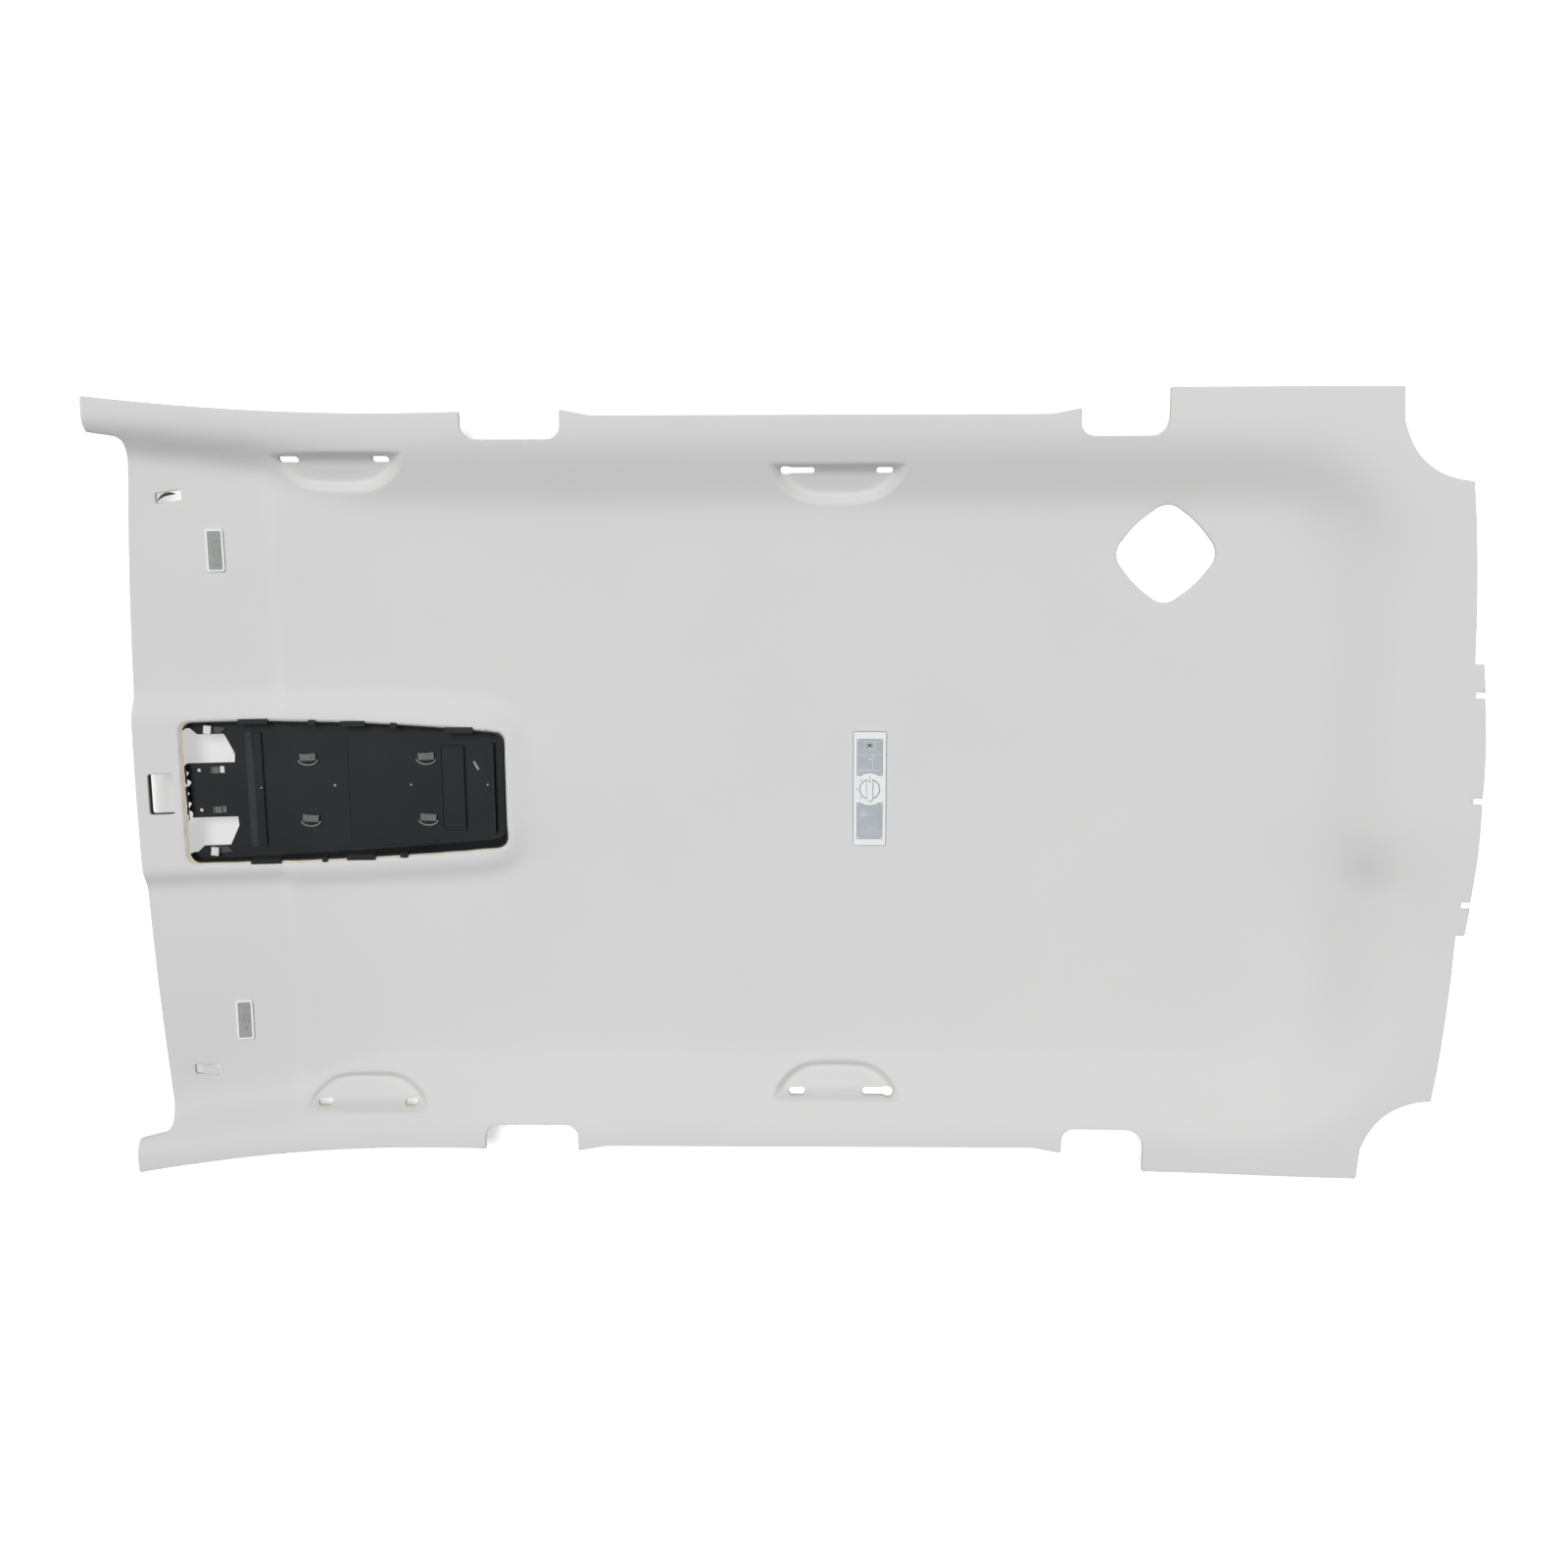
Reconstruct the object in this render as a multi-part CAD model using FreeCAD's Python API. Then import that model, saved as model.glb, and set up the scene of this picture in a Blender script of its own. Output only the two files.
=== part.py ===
import FreeCAD, Part
import math
import os
from FreeCAD import Matrix, Placement, Rotation, Vector

# A car roof lining seen from its cabin side and lying on its roof side. Millimetres.
# +Z is out of the cabin face, +X is to the rear of the car, +Y is the car's left side.
# The origin is the middle of the panel's footprint, on the surface it lies on.

# Board and its overall form
board_t = 5.0
spacer_t = 20.0
field_z = spacer_t + board_t
half_length = 1080.0
front_end = -half_length
crown_rise = 8.0
crown_half_width = 600.0

# Side and rear rise: a soft slope up to the flange, with a rounded rear corner
slope_side_y = 432.0
slope_rear_x = half_length - 262.0
slope_corner_r = 80.0
slope_w = 146.0
slope_rise = 50.0
flange_fall = 0.17
flange_fall_w = 29.0

# Lengthwise bow: both ends lift towards the cabin
front_lift_x = front_end + 496.0
front_lift = 50.0
front_lift_span = 500.0
rear_lift_x = half_length - 704.0
rear_lift = 60.0
rear_lift_span = 655.0

# Sun visor recess at the front
visor_step_x = front_end + 244.0
visor_step_w = 18.0
visor_depth = 4.0
visor_side_shift = 80.0
visor_side_flare = 0.2
visor_side_least_w = 24.0
visor_blend_x = front_end + 200.0
visor_blend_w = 240.0

# Console opening and the raised pod round it
console_front_x = front_end + 100.0
console_length = 513.0
console_rear_x = console_front_x + console_length
console_front_half = 116.0
console_rear_half = 94.0
console_side_bow = 6.8
console_corner_r = 16.0
pod_rise = 18.0
pod_margin = 12.0
pod_slope_w = 44.0
pod_corner_r = 50.0
pod_front_inset = 14.0

# Outline, as the left half
front_x = front_end + 24.0
front_corner_x = front_end + 47.0
front_corner_r = 12.0
front_corner_y = 566.0
horn_in_y = 574.0
horn_out_y = 628.0
side_y = 603.0
side_bow = 11.0
front_pillar_x = (front_end + 568.0, front_end + 722.0)
front_pillar_y = 561.0
front_pillar_r = 29.0
ear_y = 606.0
ear_run = 46.0
ear_r = 2.0
waist_y = 597.0
waist_r = 60.0
rear_pillar_x = (half_length - 636.0, half_length - 502.0)
rear_pillar_y = 564.0
rear_pillar_r = 27.0
rear_flange_y = 637.0
corner_cut_x = half_length - 155.0
corner_cut_y = 585.0
corner_cut_draft = 2.0
corner_cut_bow = 25.0
rear_corner_x = half_length - 47.0
rear_corner_y = 495.0
rear_edge_x = half_length - 27.0
rear_edge_bow = 3.0
tab_half_w = 217.0
tab_side_x = half_length - 13.0
tab_bow = 3.0
tab_slot_y = 168.0
tab_slot_w = 10.0
tab_slot_depth = 14.0
edge_r = 3.0

# Grab handle pockets: floor and mouth outlines in a local frame whose Y points outwards.
# A hole is its place along the pocket, its length and which end of it is wide.
pocket_front = (front_end + 366.0, 512.0)
pocket_rear = (72.0, 493.0)
pocket_floor = ((32.0, -19.0), (57.0, -13.0), (82.0, 4.0), (87.0, 14.0), (87.0, 14.0))
pocket_floor_z = (-27.0, -10.5)
pocket_mouth = ((38.0, -42.0), (70.0, -33.0), (105.0, 2.0), (109.0, 37.0), (109.0, 37.0))
pocket_mouth_z = (-15.0, 20.6)
pocket_roof_share = 0.8
handle_hole_y = 19.0
handle_hole_w = 9.0
handle_hole_wide_r = 6.0
handle_hole_end_share = 0.45
handle_holes = {
    "front_left": ((-73.0, 30.0, 0), (71.0, 26.0, 0)),
    "front_right": ((-70.5, 23.0, 0), (74.0, 20.0, 0)),
    "rear_left": ((-63.5, 53.0, -1), (73.0, 26.0, 0)),
    "rear_right": ((-66.0, 26.0, 0), (68.5, 50.0, 1)),
}

# Belt opening: a rounded diamond on the left side only
belt_x = half_length - 491.0
belt_y = 380.0
belt_half = 77.0
belt_corner_reach = 1.17
belt_corner_r = 32.0
belt_bow = 3.0

# Visor clip openings
visor_hole_x = front_end + 101.0
visor_hole_y = 476.0
visor_hole = (38.0, 16.0)
visor_hole_slant = 5.0
visor_hole_r = 3.0
visor_plate_rim = 7.0
visor_plate_t = 1.2
visor_plate_clear = 1.0
visor_tongue = (14.0, 10.0, 2.0)

# Sensor window
sensor_x = front_end + 63.0
sensor_size = (38.0, 66.0)
sensor_wall = 1.6
sensor_rim = 5.0
sensor_depth = 16.0
sensor_r = 4.0

# Console carrier behind the opening
carrier_depth = 12.0
carrier_t = 2.5
carrier_flange_w = 10.0
carrier_flange_t = 2.5
carrier_draft_in = 15.0
carrier_draft_h = 34.0
glue_gap = 0.2
seat_gap = 0.4
fit_gap = 0.3
window_x = console_front_x + 5.0
window_outline = ((0.0, 45.0), (67.0, 45.0), (68.0, 60.0), (53.0, 92.0), (11.0, 92.0), (0.0, 103.0))
window_r = 3.0
lip_over = 4.0
lip_t = 1.6
lip_step = 0.6
lip_clearance = 1.2
lips_left = (
    (console_front_x + 112.0, 46.0),
    (console_front_x + 206.0, 11.0),
    (console_front_x + 271.0, 38.0),
    (console_front_x + 336.0, 10.0),
    (console_rear_x - 72.0, 46.0),
)
lips_right = (
    (console_front_x + 120.0, 48.0),
    (console_front_x + 215.0, 8.0),
    (console_front_x + 274.0, 46.0),
    (console_front_x + 344.0, 12.0),
)
boss_x = (console_front_x + 189.0, console_rear_x - 132.0)
boss_y = 51.0
boss_size = (27.0, 15.0)
boss_h = 5.0
boss_wall = 1.8
boss_end_share = 0.48
spring_clip_size = (16.0, 8.0)
spring_clip_flat = 0.55
spring_clip_foot = 1.4
step_rib_x = console_front_x + 110.0
step_rib_w = 14.0
step_rib_h = 5.0
bin_x = console_rear_x - 90.0
bin_size = (40.0, 140.0)
bin_h = 8.0
bin_wall = 3.0
rear_rib_x = console_rear_x - 23.0
rib_inset = 22.0
rear_rib_w = 6.0
rear_rib_h = 12.0
seam_x = console_front_x + 253.0
seam_w = 2.0
seam_depth = 1.0
plate_hole_x = console_front_x + 15.0
plate_hole_y = 33.0
plate_hole_r = 3.0
plate_clip_x = console_front_x + 46.0
plate_clip_size = (9.0, 12.0, 4.0)
plate_clip_t = 1.4
peg_x = console_front_x + 37.0
peg_r = 4.0
peg_h = 12.0
peg_stem_share = 0.7
peg_head_share = 0.4
clip_t = 0.8

# Dome lamp, in a frame on the cabin face: X to the rear, Y to the left
dome_x = 125.0
dome_size = (53.0, 188.0)
dome_bezel_h = 5.0
dome_bezel_r = 3.0
dome_bezel_chamfer = 1.0
dome_window_w = 42.0
dome_window_y = (22.0, 83.0)
dome_dial_r = 26.5
dome_body = (45.0, 180.0)
dome_depth = 17.0
dome_wall = 1.8
dome_cut_gap = 1.0
dome_lens_gap = 0.3
dome_lens_t = 3.6
dome_lens_crown = 0.9
dome_tray_t = 1.0
dome_dish = (34.0, 50.0)
dome_dish_draft = 4.0
dome_dish_depth = 9.0
dome_dish_y = 54.0
bulb_r = 4.0
bulb_l = 30.0
bulb_cap_l = 6.0
bulb_cap_share = 0.62
bulb_z = -4.4
contact_w = 6.0
contact_t = 0.6
cup_r = 10.5
knob_recess_r = 16.2
knob_recess_depth = 1.6
knob_r = 15.4
knob_disc_t = 2.6
knob_grip = (10.0, 37.0, 6.0)
knob_pointer = (1.6, 5.0, 0.6)
knob_chamfer = 1.2
knob_end_share = 0.45
knob_lift = 0.3
knob_stem_r = 4.0
knob_stem_gap = 0.05
knob_stem_l = 10.0
mark_r = 20.6
mark_size = 1.6
mark_depth = 0.6
switch_positions = (0.0, 45.0, 90.0, 135.0)
dome_clip_w = 14.0
dome_clip_reach = 4.0

# Vanity lamps over the sun visors
vanity_x = front_end + 166.0
vanity_y = 389.0
vanity_size = (28.0, 68.0)
vanity_bezel_h = 4.0
vanity_bezel_r = 4.0
vanity_bezel_chamfer = 0.9
vanity_rim = 3.6
vanity_body_inset = 3.0
vanity_depth = 13.0
vanity_wall = 1.4
vanity_lens_gap = 0.3
vanity_lens_t = 3.2
vanity_bulb_r = 3.2
vanity_bulb_l = 26.0
vanity_bulb_z = -5.2
vanity_contact_w = 4.0
vanity_contact_t = 0.6

# Foam spacer blocks on the roof side
spacer_x = (-250.0, 300.0)
spacer_y = 330.0
spacer_size = (160.0, 120.0)
spacer_r = 12.0

# How far the cutting shapes run past the panel, and the least step of the grid
under = -60.0
over = 320.0
reach = 40.0
pod_rear_run = 60.0
grid_gap = 5.0


# Form of the cabin face
def smooth(t):
    t = min(1.0, max(0.0, t))
    return t * t * (3.0 - 2.0 * t)


def rounded_distance(x, y, edge_x, edge_y, radius):
    """Distance outside a rectangle with one rounded corner."""
    qx = x - (edge_x - radius)
    qy = y - (edge_y - radius)
    outside = math.hypot(max(qx, 0.0), max(qy, 0.0))
    return outside + min(max(qx, qy), 0.0) - radius


def lengthwise_lift(x):
    front = front_lift * (max(front_lift_x - x, 0.0) / front_lift_span) ** 2
    rear = rear_lift * (max(x - rear_lift_x, 0.0) / rear_lift_span) ** 2
    return front + rear


def console_half(x):
    """Half the opening's width: a straight taper with a bow on it."""
    t = (x - console_front_x) / (console_rear_x - console_front_x)
    bow = 4.0 * console_side_bow * max(t, 0.0) * (1.0 - t)
    return console_front_half + (console_rear_half - console_front_half) * max(t, 0.0) + bow


def pod_height(x, y):
    inset = pod_front_inset * (1.0 - smooth((x - visor_step_x) / visor_step_w))
    crest = console_half(x) + pod_margin
    rear = console_rear_x + pod_margin
    s = rounded_distance(x, abs(y), rear, crest, pod_corner_r)
    return pod_rise * (1.0 - smooth(s / (pod_slope_w - inset)))


def cabin_height(x, y):
    """Height of the cabin face: field, crown, side and rear slope, end lift, recess and pod."""
    y = abs(y)
    in_recess = 1.0 - smooth((x - visor_blend_x) / visor_blend_w)
    shift = visor_side_shift * in_recess + visor_side_flare * max(visor_blend_x - x, 0.0)
    shift = min(shift, slope_w - visor_side_least_w)
    s = rounded_distance(x, y, slope_rear_x, slope_side_y + shift, slope_corner_r)
    width = slope_w - shift
    rise = slope_rise * smooth(s / width)
    past = max(s - width, 0.0)
    curl = 0.5 * flange_fall / flange_fall_w * min(past, flange_fall_w) ** 2
    curl += flange_fall * max(past - flange_fall_w, 0.0)
    crown = crown_rise * (y / crown_half_width) ** 2
    recess = visor_depth * (1.0 - smooth((x - visor_step_x) / visor_step_w))
    recess *= 1.0 - smooth(s / width)
    return field_z + crown + rise - curl + lengthwise_lift(x) - recess + pod_height(x, y)


def carrier_height(x, y):
    """Height of the console carrier's floor, which follows the lengthwise bow only."""
    return field_z + lengthwise_lift(x) - carrier_depth


def spline_surface(height, lines_x, lines_y):
    """Smooth surface over a grid of lines, with z taken from the height function."""
    full_x = [lines_x[0]] * 3 + lines_x + [lines_x[-1]] * 3
    full_y = [lines_y[0]] * 3 + lines_y + [lines_y[-1]] * 3
    poles_x = [sum(full_x[i + 1:i + 4]) / 3.0 for i in range(len(lines_x) + 2)]
    poles_y = [sum(full_y[i + 1:i + 4]) / 3.0 for i in range(len(lines_y) + 2)]
    poles = [[Vector(x, y, height(x, y)) for y in poles_y] for x in poles_x]
    mults_x = [4] + [1] * (len(lines_x) - 2) + [4]
    mults_y = [4] + [1] * (len(lines_y) - 2) + [4]
    surface = Part.BSplineSurface()
    surface.buildFromPolesMultsKnots(poles, mults_x, mults_y, lines_x, lines_y, False, False, 3, 3)
    return surface


def between(start, end, count):
    return [start + (end - start) * i / count for i in range(count)]


def grid_lines(breaks):
    """Grid lines from breaks, each a place and the number of steps after it."""
    breaks = sorted(breaks)
    lines = []
    for (start, count), (end, after) in zip(breaks, breaks[1:]):
        lines += between(start, end, count)
    return spaced(lines + [breaks[-1][0]])


def spaced(lines):
    """The lines without those that come too soon after another."""
    kept = [lines[0]]
    for line in lines[1:-1]:
        if line - kept[-1] > grid_gap and lines[-1] - line > grid_gap:
            kept.append(line)
    return kept + [lines[-1]]


def both_sides(half):
    return [-y for y in reversed(half[1:])] + half


# Breaks where the cabin face starts or stops bending
outer_y = max(rear_flange_y, horn_out_y, side_y, ear_y) + reach
breaks_x = [
    (front_end - reach, 3),
    (visor_blend_x, 3),
    (visor_step_x - visor_step_w / 2, 4),
    (visor_step_x + 1.5 * visor_step_w, 4),
    (console_rear_x - pod_rear_run, 5),
    (console_rear_x + pod_margin + pod_slope_w, 4),
    (rear_lift_x, 3),
    (slope_rear_x - slope_corner_r, 6),
    (slope_rear_x + slope_w, 2),
    (half_length + reach, 1),
]
breaks_y = [
    (0.0, 2),
    (console_rear_half + pod_margin, 5),
    (console_front_half + pod_margin + pod_slope_w, 3),
    (slope_side_y, 7),
    (slope_side_y + slope_w, 3),
    (outer_y, 1),
]
cabin = spline_surface(cabin_height, grid_lines(breaks_x), both_sides(grid_lines(breaks_y)))
patch_x = spaced(sorted(x for x, count in breaks_x))
patch_y = both_sides(spaced(sorted(y for y, count in breaks_y)))
carrier_end = console_rear_x + 2.0 * reach
carrier_lines = between(front_end, carrier_end, 6) + [carrier_end]
carrier = spline_surface(carrier_height, carrier_lines, [-outer_y, outer_y])


def cabin_z(x, y):
    return cabin.value(x, y).z


def below(surface, drop):
    """Everything below a surface that is moved down by drop."""
    face = surface.toShape()
    face.translate(Vector(0.0, 0.0, -drop))
    return face.extrude(Vector(0.0, 0.0, under - over))


def sheet(surface, drop, thickness):
    """A layer of even vertical thickness under a surface that is moved down by drop."""
    face = surface.toShape()
    face.translate(Vector(0.0, 0.0, -drop))
    return face.extrude(Vector(0.0, 0.0, -thickness))


def skin_space(drop):
    """Everything below the cabin face that is moved down by drop, with a face for each patch."""
    faces = []
    for x0, x1 in zip(patch_x, patch_x[1:]):
        for y0, y1 in zip(patch_y, patch_y[1:]):
            patch = cabin.copy()
            patch.segment(x0, x1, y0, y1)
            face = patch.toShape()
            face.translate(Vector(0.0, 0.0, -drop))
            faces.append(face)
    edges = [edge for face in faces for edge in face.Edges]
    walls = []
    for axis, places in ((0, patch_x), (1, patch_y)):
        for place in (places[0], places[-1]):
            rim = [e for e in edges if abs(e.valueAt(e.FirstParameter)[axis] - place) < 1e-6
                   and abs(e.valueAt(e.LastParameter)[axis] - place) < 1e-6]
            top = Part.Wire(Part.__sortEdges__(rim))
            start, end = top.OrderedVertexes[0].Point, top.OrderedVertexes[-1].Point
            foot = Part.makePolygon([end, Vector(end.x, end.y, under), Vector(start.x, start.y, under), start])
            walls.append(Part.Face(Part.Wire(Part.__sortEdges__(rim + foot.Edges))))
    ground = Part.makePlane(patch_x[-1] - patch_x[0], patch_y[-1] - patch_y[0],
                            Vector(patch_x[0], patch_y[0], under))
    shell = Part.makeShell(faces + walls + [ground])
    shell.sewShape()
    solid = Part.makeSolid(Part.Shell(shell.Faces))
    if solid.Volume < 0:
        solid.reverse()
    return solid


# Outlines
def corner_wire(corners, z=0.0):
    """Closed wire through corners (x, y, radius, bow); bow lifts the side that follows."""
    count = len(corners)
    ends = []
    for i, (x, y, radius, bow) in enumerate(corners):
        here = Vector(x, y, z)
        back = Vector(corners[i - 1][0], corners[i - 1][1], z) - here
        ahead = Vector(corners[(i + 1) % count][0], corners[(i + 1) % count][1], z) - here
        turn = back.getAngle(ahead)
        if radius <= 0.0 or turn > math.pi - 0.02:
            ends.append((here, None, here))
            continue
        run = min(radius / math.tan(turn / 2.0), 0.49 * back.Length, 0.49 * ahead.Length)
        r = run * math.tan(turn / 2.0)
        back.normalize()
        ahead.normalize()
        middle = (back + ahead).normalize()
        mid_point = here + middle * (r / math.sin(turn / 2.0) - r)
        ends.append((here + back * run, mid_point, here + ahead * run))
    edges = []
    for i, (x, y, radius, bow) in enumerate(corners):
        start, arc_mid, end = ends[i]
        if arc_mid is not None:
            edges.append(Part.Arc(start, arc_mid, end).toShape())
        following = ends[(i + 1) % count][0]
        side = following - end
        if side.Length < 1e-6:
            continue
        if bow:
            lift = Vector(-side.y, side.x, 0.0).normalize() * bow
            edges.append(Part.Arc(end, end + side * 0.5 + lift, following).toShape())
        else:
            edges.append(Part.LineSegment(end, following).toShape())
    return Part.Wire(edges)


def prism(wire, z0, z1):
    face = Part.Face(wire)
    face.translate(Vector(0.0, 0.0, z0 - wire.BoundBox.ZMin))
    return face.extrude(Vector(0.0, 0.0, z1 - z0))


def plate(cx, cy, length_x, length_y, radius, z0, z1):
    hx = length_x / 2.0
    hy = length_y / 2.0
    corners = [(cx - hx, cy - hy, radius, 0), (cx + hx, cy - hy, radius, 0),
               (cx + hx, cy + hy, radius, 0), (cx - hx, cy + hy, radius, 0)]
    return prism(corner_wire(corners), z0, z1)


def block(x0, x1, y0, y1, z0, z1):
    return Part.makeBox(x1 - x0, y1 - y0, z1 - z0, Vector(x0, y0, z0))


def disc(cx, cy, radius, z0, z1):
    return Part.makeCylinder(radius, z1 - z0, Vector(cx, cy, z0))


def mirrored(shape):
    return shape.mirror(Vector(0, 0, 0), Vector(0, 1, 0))


def outline_wire():
    """The trimmed edge of the panel, from the front corner round to the front corner."""
    fp0, fp1 = front_pillar_x
    rp0, rp1 = rear_pillar_x
    slot = tab_slot_w / 2.0
    slot_x = tab_side_x + (half_length - tab_side_x) * (1.0 - (tab_slot_y / tab_half_w) ** 2)
    left = [
        (front_corner_x, front_corner_y, front_corner_r, 0),
        (front_end, horn_in_y, edge_r, 0),
        (front_end, horn_out_y, edge_r, -side_bow),
        (fp0, side_y, edge_r, 0),
        (fp0, front_pillar_y, front_pillar_r, 0),
        (fp1, front_pillar_y, front_pillar_r, 0),
        (fp1, ear_y, ear_r, 0),
        (fp1 + ear_run, waist_y, waist_r, 0),
        (rp0 - ear_run, waist_y, waist_r, 0),
        (rp0, ear_y, ear_r, 0),
        (rp0, rear_pillar_y, rear_pillar_r, 0),
        (rp1, rear_pillar_y, rear_pillar_r, 0),
        (rp1, rear_flange_y, edge_r, 0),
        (corner_cut_x, rear_flange_y, edge_r, 0),
        (corner_cut_x + corner_cut_draft, corner_cut_y, 0, -corner_cut_bow),
        (rear_corner_x, rear_corner_y, edge_r, rear_edge_bow),
        (rear_edge_x, tab_half_w, 0, 0),
        (tab_side_x, tab_half_w, edge_r, 0),
        (slot_x, tab_slot_y + slot, 0, 0),
        (slot_x - tab_slot_depth, tab_slot_y + slot, 0, 0),
        (slot_x - tab_slot_depth, tab_slot_y - slot, 0, 0),
        (slot_x, tab_slot_y - slot, 0, tab_bow),
        (half_length, slot, 0, 0),
        (half_length - tab_slot_depth, slot, 0, 0),
    ]
    right = []
    for i in range(len(left) - 1, -1, -1):
        x, y, radius, bow = left[i]
        bow_of_side = left[i - 1][3] if i > 0 else 0
        right.append((x, -y, radius, bow_of_side))
    x, y, radius, bow = right[-1]
    right[-1] = (x, y, radius, front_corner_x - front_x)
    return corner_wire(left + right)


def console_wire(offset, z=0.0):
    """Outline of the console opening, moved out by offset. Its long sides are bowed."""
    x0 = console_front_x - offset
    x1 = console_rear_x + offset
    y0 = console_front_half + offset
    y1 = console_rear_half + offset
    bow = console_side_bow
    r = max(console_corner_r + offset, 2.0)
    corners = [(x0, -y0, r, -bow), (x1, -y1, r, 0), (x1, y1, r, -bow), (x0, y0, r, 0)]
    return corner_wire(corners, z)


def belt_wire():
    corners = []
    for k in range(4):
        angle = math.radians(90.0 * k)
        x = belt_x + belt_half * belt_corner_reach * math.cos(angle)
        y = belt_y + belt_half * belt_corner_reach * math.sin(angle)
        corners.append((x, y, belt_corner_r, -belt_bow))
    return corner_wire(corners)


# Frames on the cabin face
def seat(x, y):
    """Frame on the cabin face at x, y: Z along the face's normal, X to the rear."""
    dx = cabin.value(x + 1.0, y) - cabin.value(x - 1.0, y)
    dy = cabin.value(x, y + 1.0) - cabin.value(x, y - 1.0)
    normal = dx.cross(dy).normalize()
    along = (dx - normal * dx.dot(normal)).normalize()
    across = normal.cross(along)
    return Placement(cabin.value(x, y), Rotation(along, across, normal, "ZXY"))


def placed(shape, where):
    shape = shape.copy()
    shape.Placement = where.multiply(shape.Placement)
    return shape


def layer(x, y, z0, z1):
    """A flat layer along the cabin face's tangent plane at x, y, for small pieces behind the board."""
    size = 2.0 * spacer_size[0]
    return placed(block(-size, size, -size, size, z0, z1), seat(x, y))


# The moulded panel
def pocket_wire(outline, grow, z0, z1):
    """Boat-shaped outline of a handle pocket's floor or mouth, in the pocket's own frame.

    The outline is the right half of a control polygon. Its plane runs from z0 to z1 as Y grows."""
    first_y = outline[0][1]
    rate = (z1 - z0) / (outline[-1][1] - first_y)
    right = []
    for half, y in outline:
        outer = y > first_y + 0.9 * (outline[-1][1] - first_y)
        y_grown = y + grow if outer else y - grow
        right.append(Vector(half + grow, y_grown, z0 + rate * (y_grown - first_y)))
    left = [Vector(-p.x, p.y, p.z) for p in reversed(right)]
    curve = Part.BSplineCurve()
    curve.buildFromPoles(right + left, True, 3)
    return Part.Wire(curve.toShape())


def pocket_cutter(place, side, grow, drop):
    """The space of one handle pocket: a tapered form from its floor to above the side slope."""
    floor = pocket_wire(pocket_floor, grow, pocket_floor_z[0] - drop, pocket_floor_z[1] - drop)
    mouth = pocket_wire(pocket_mouth, grow, pocket_mouth_z[0], pocket_mouth_z[1])
    form = Part.makeLoft([floor, mouth], True, True)
    form.translate(Vector(place[0], place[1], cabin_z(*place)))
    return form if side > 0 else mirrored(form)


def handle_hole_cutters(holes, place, side):
    """Slots through the outer wall of a pocket. A wide end makes the slot a keyhole."""
    y = side * (place[1] + handle_hole_y)
    end_r = handle_hole_w * handle_hole_end_share
    cutters = []
    for along, length, wide_end in holes:
        cx = place[0] + along
        if not wide_end:
            cutters.append(plate(cx, y, length, handle_hole_w, end_r, under, over))
            continue
        neck = plate(cx - wide_end * handle_hole_wide_r / 2, y, length - handle_hole_wide_r, handle_hole_w,
                     end_r, under, over)
        eye = disc(cx + wide_end * (length / 2 - handle_hole_wide_r), y, handle_hole_wide_r, under, over)
        cutters.append(neck.fuse(eye))
    return cutters


def visor_hole_wire(side, grow):
    hx = visor_hole[0] / 2.0 + grow
    hy = visor_hole[1] / 2.0 + grow
    r = visor_hole_r
    y = side * visor_hole_y
    slanted = y - side * visor_hole_slant
    corners = [(visor_hole_x - hx, slanted - hy, r, 0), (visor_hole_x + hx, y - hy, r, 0),
               (visor_hole_x + hx, y + hy, r, 0), (visor_hole_x - hx, slanted + hy, r, 0)]
    return corner_wire(corners)


def sensor_plate(grow, z0, z1):
    return plate(sensor_x, 0.0, sensor_size[0] + 2 * grow, sensor_size[1] + 2 * grow,
                 max(sensor_r + grow, 1.0), z0, z1)


def headliner_panel():
    pockets = []
    for end, place in (("front", pocket_front), ("rear", pocket_rear)):
        for hand, side in (("left", 1), ("right", -1)):
            pockets.append((end + "_" + hand, place, side))
    roof_grow = board_t * pocket_roof_share
    upper = skin_space(0.0).common(prism(outline_wire(), under + 1.0, over))
    upper = upper.cut([pocket_cutter(place, side, 0.0, 0.0) for name, place, side in pockets])
    lower = skin_space(board_t)
    lower = lower.cut([pocket_cutter(place, side, roof_grow, board_t) for name, place, side in pockets])
    panel = upper.cut(lower)
    cutters = [
        prism(console_wire(0.0), under, over),
        prism(belt_wire(), under, over),
        sensor_plate(0.0, under, over),
        dome_cut(),
        prism(visor_hole_wire(1, 0.0), under, over),
        prism(visor_hole_wire(-1, 0.0), under, over),
        vanity_cut(1),
        vanity_cut(-1),
    ]
    for name, place, side in pockets:
        cutters += handle_hole_cutters(handle_holes[name], place, side)
    return panel.cut(cutters)


# Console carrier and its fasteners
def carrier_space(grow):
    """Drafted space of the tray, from the opening down past its floor."""
    top_z = cabin_z(console_front_x, 0.0) + 10.0
    low_z = under
    rate = carrier_draft_in / carrier_draft_h
    level = cabin_z(console_rear_x - 40.0, console_half(console_rear_x)) - pod_rise / 2.0
    wires = []
    for z in (low_z, top_z):
        wires.append(console_wire(grow - fit_gap + (z - level) * rate * 0.5, z))
    return Part.makeLoft(wires, True, True)


def window_wire(side):
    return corner_wire([(window_x + along, side * out, window_r, 0) for along, out in window_outline])


def carrier_z(x):
    return carrier.value(x, 0.0).z


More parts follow.
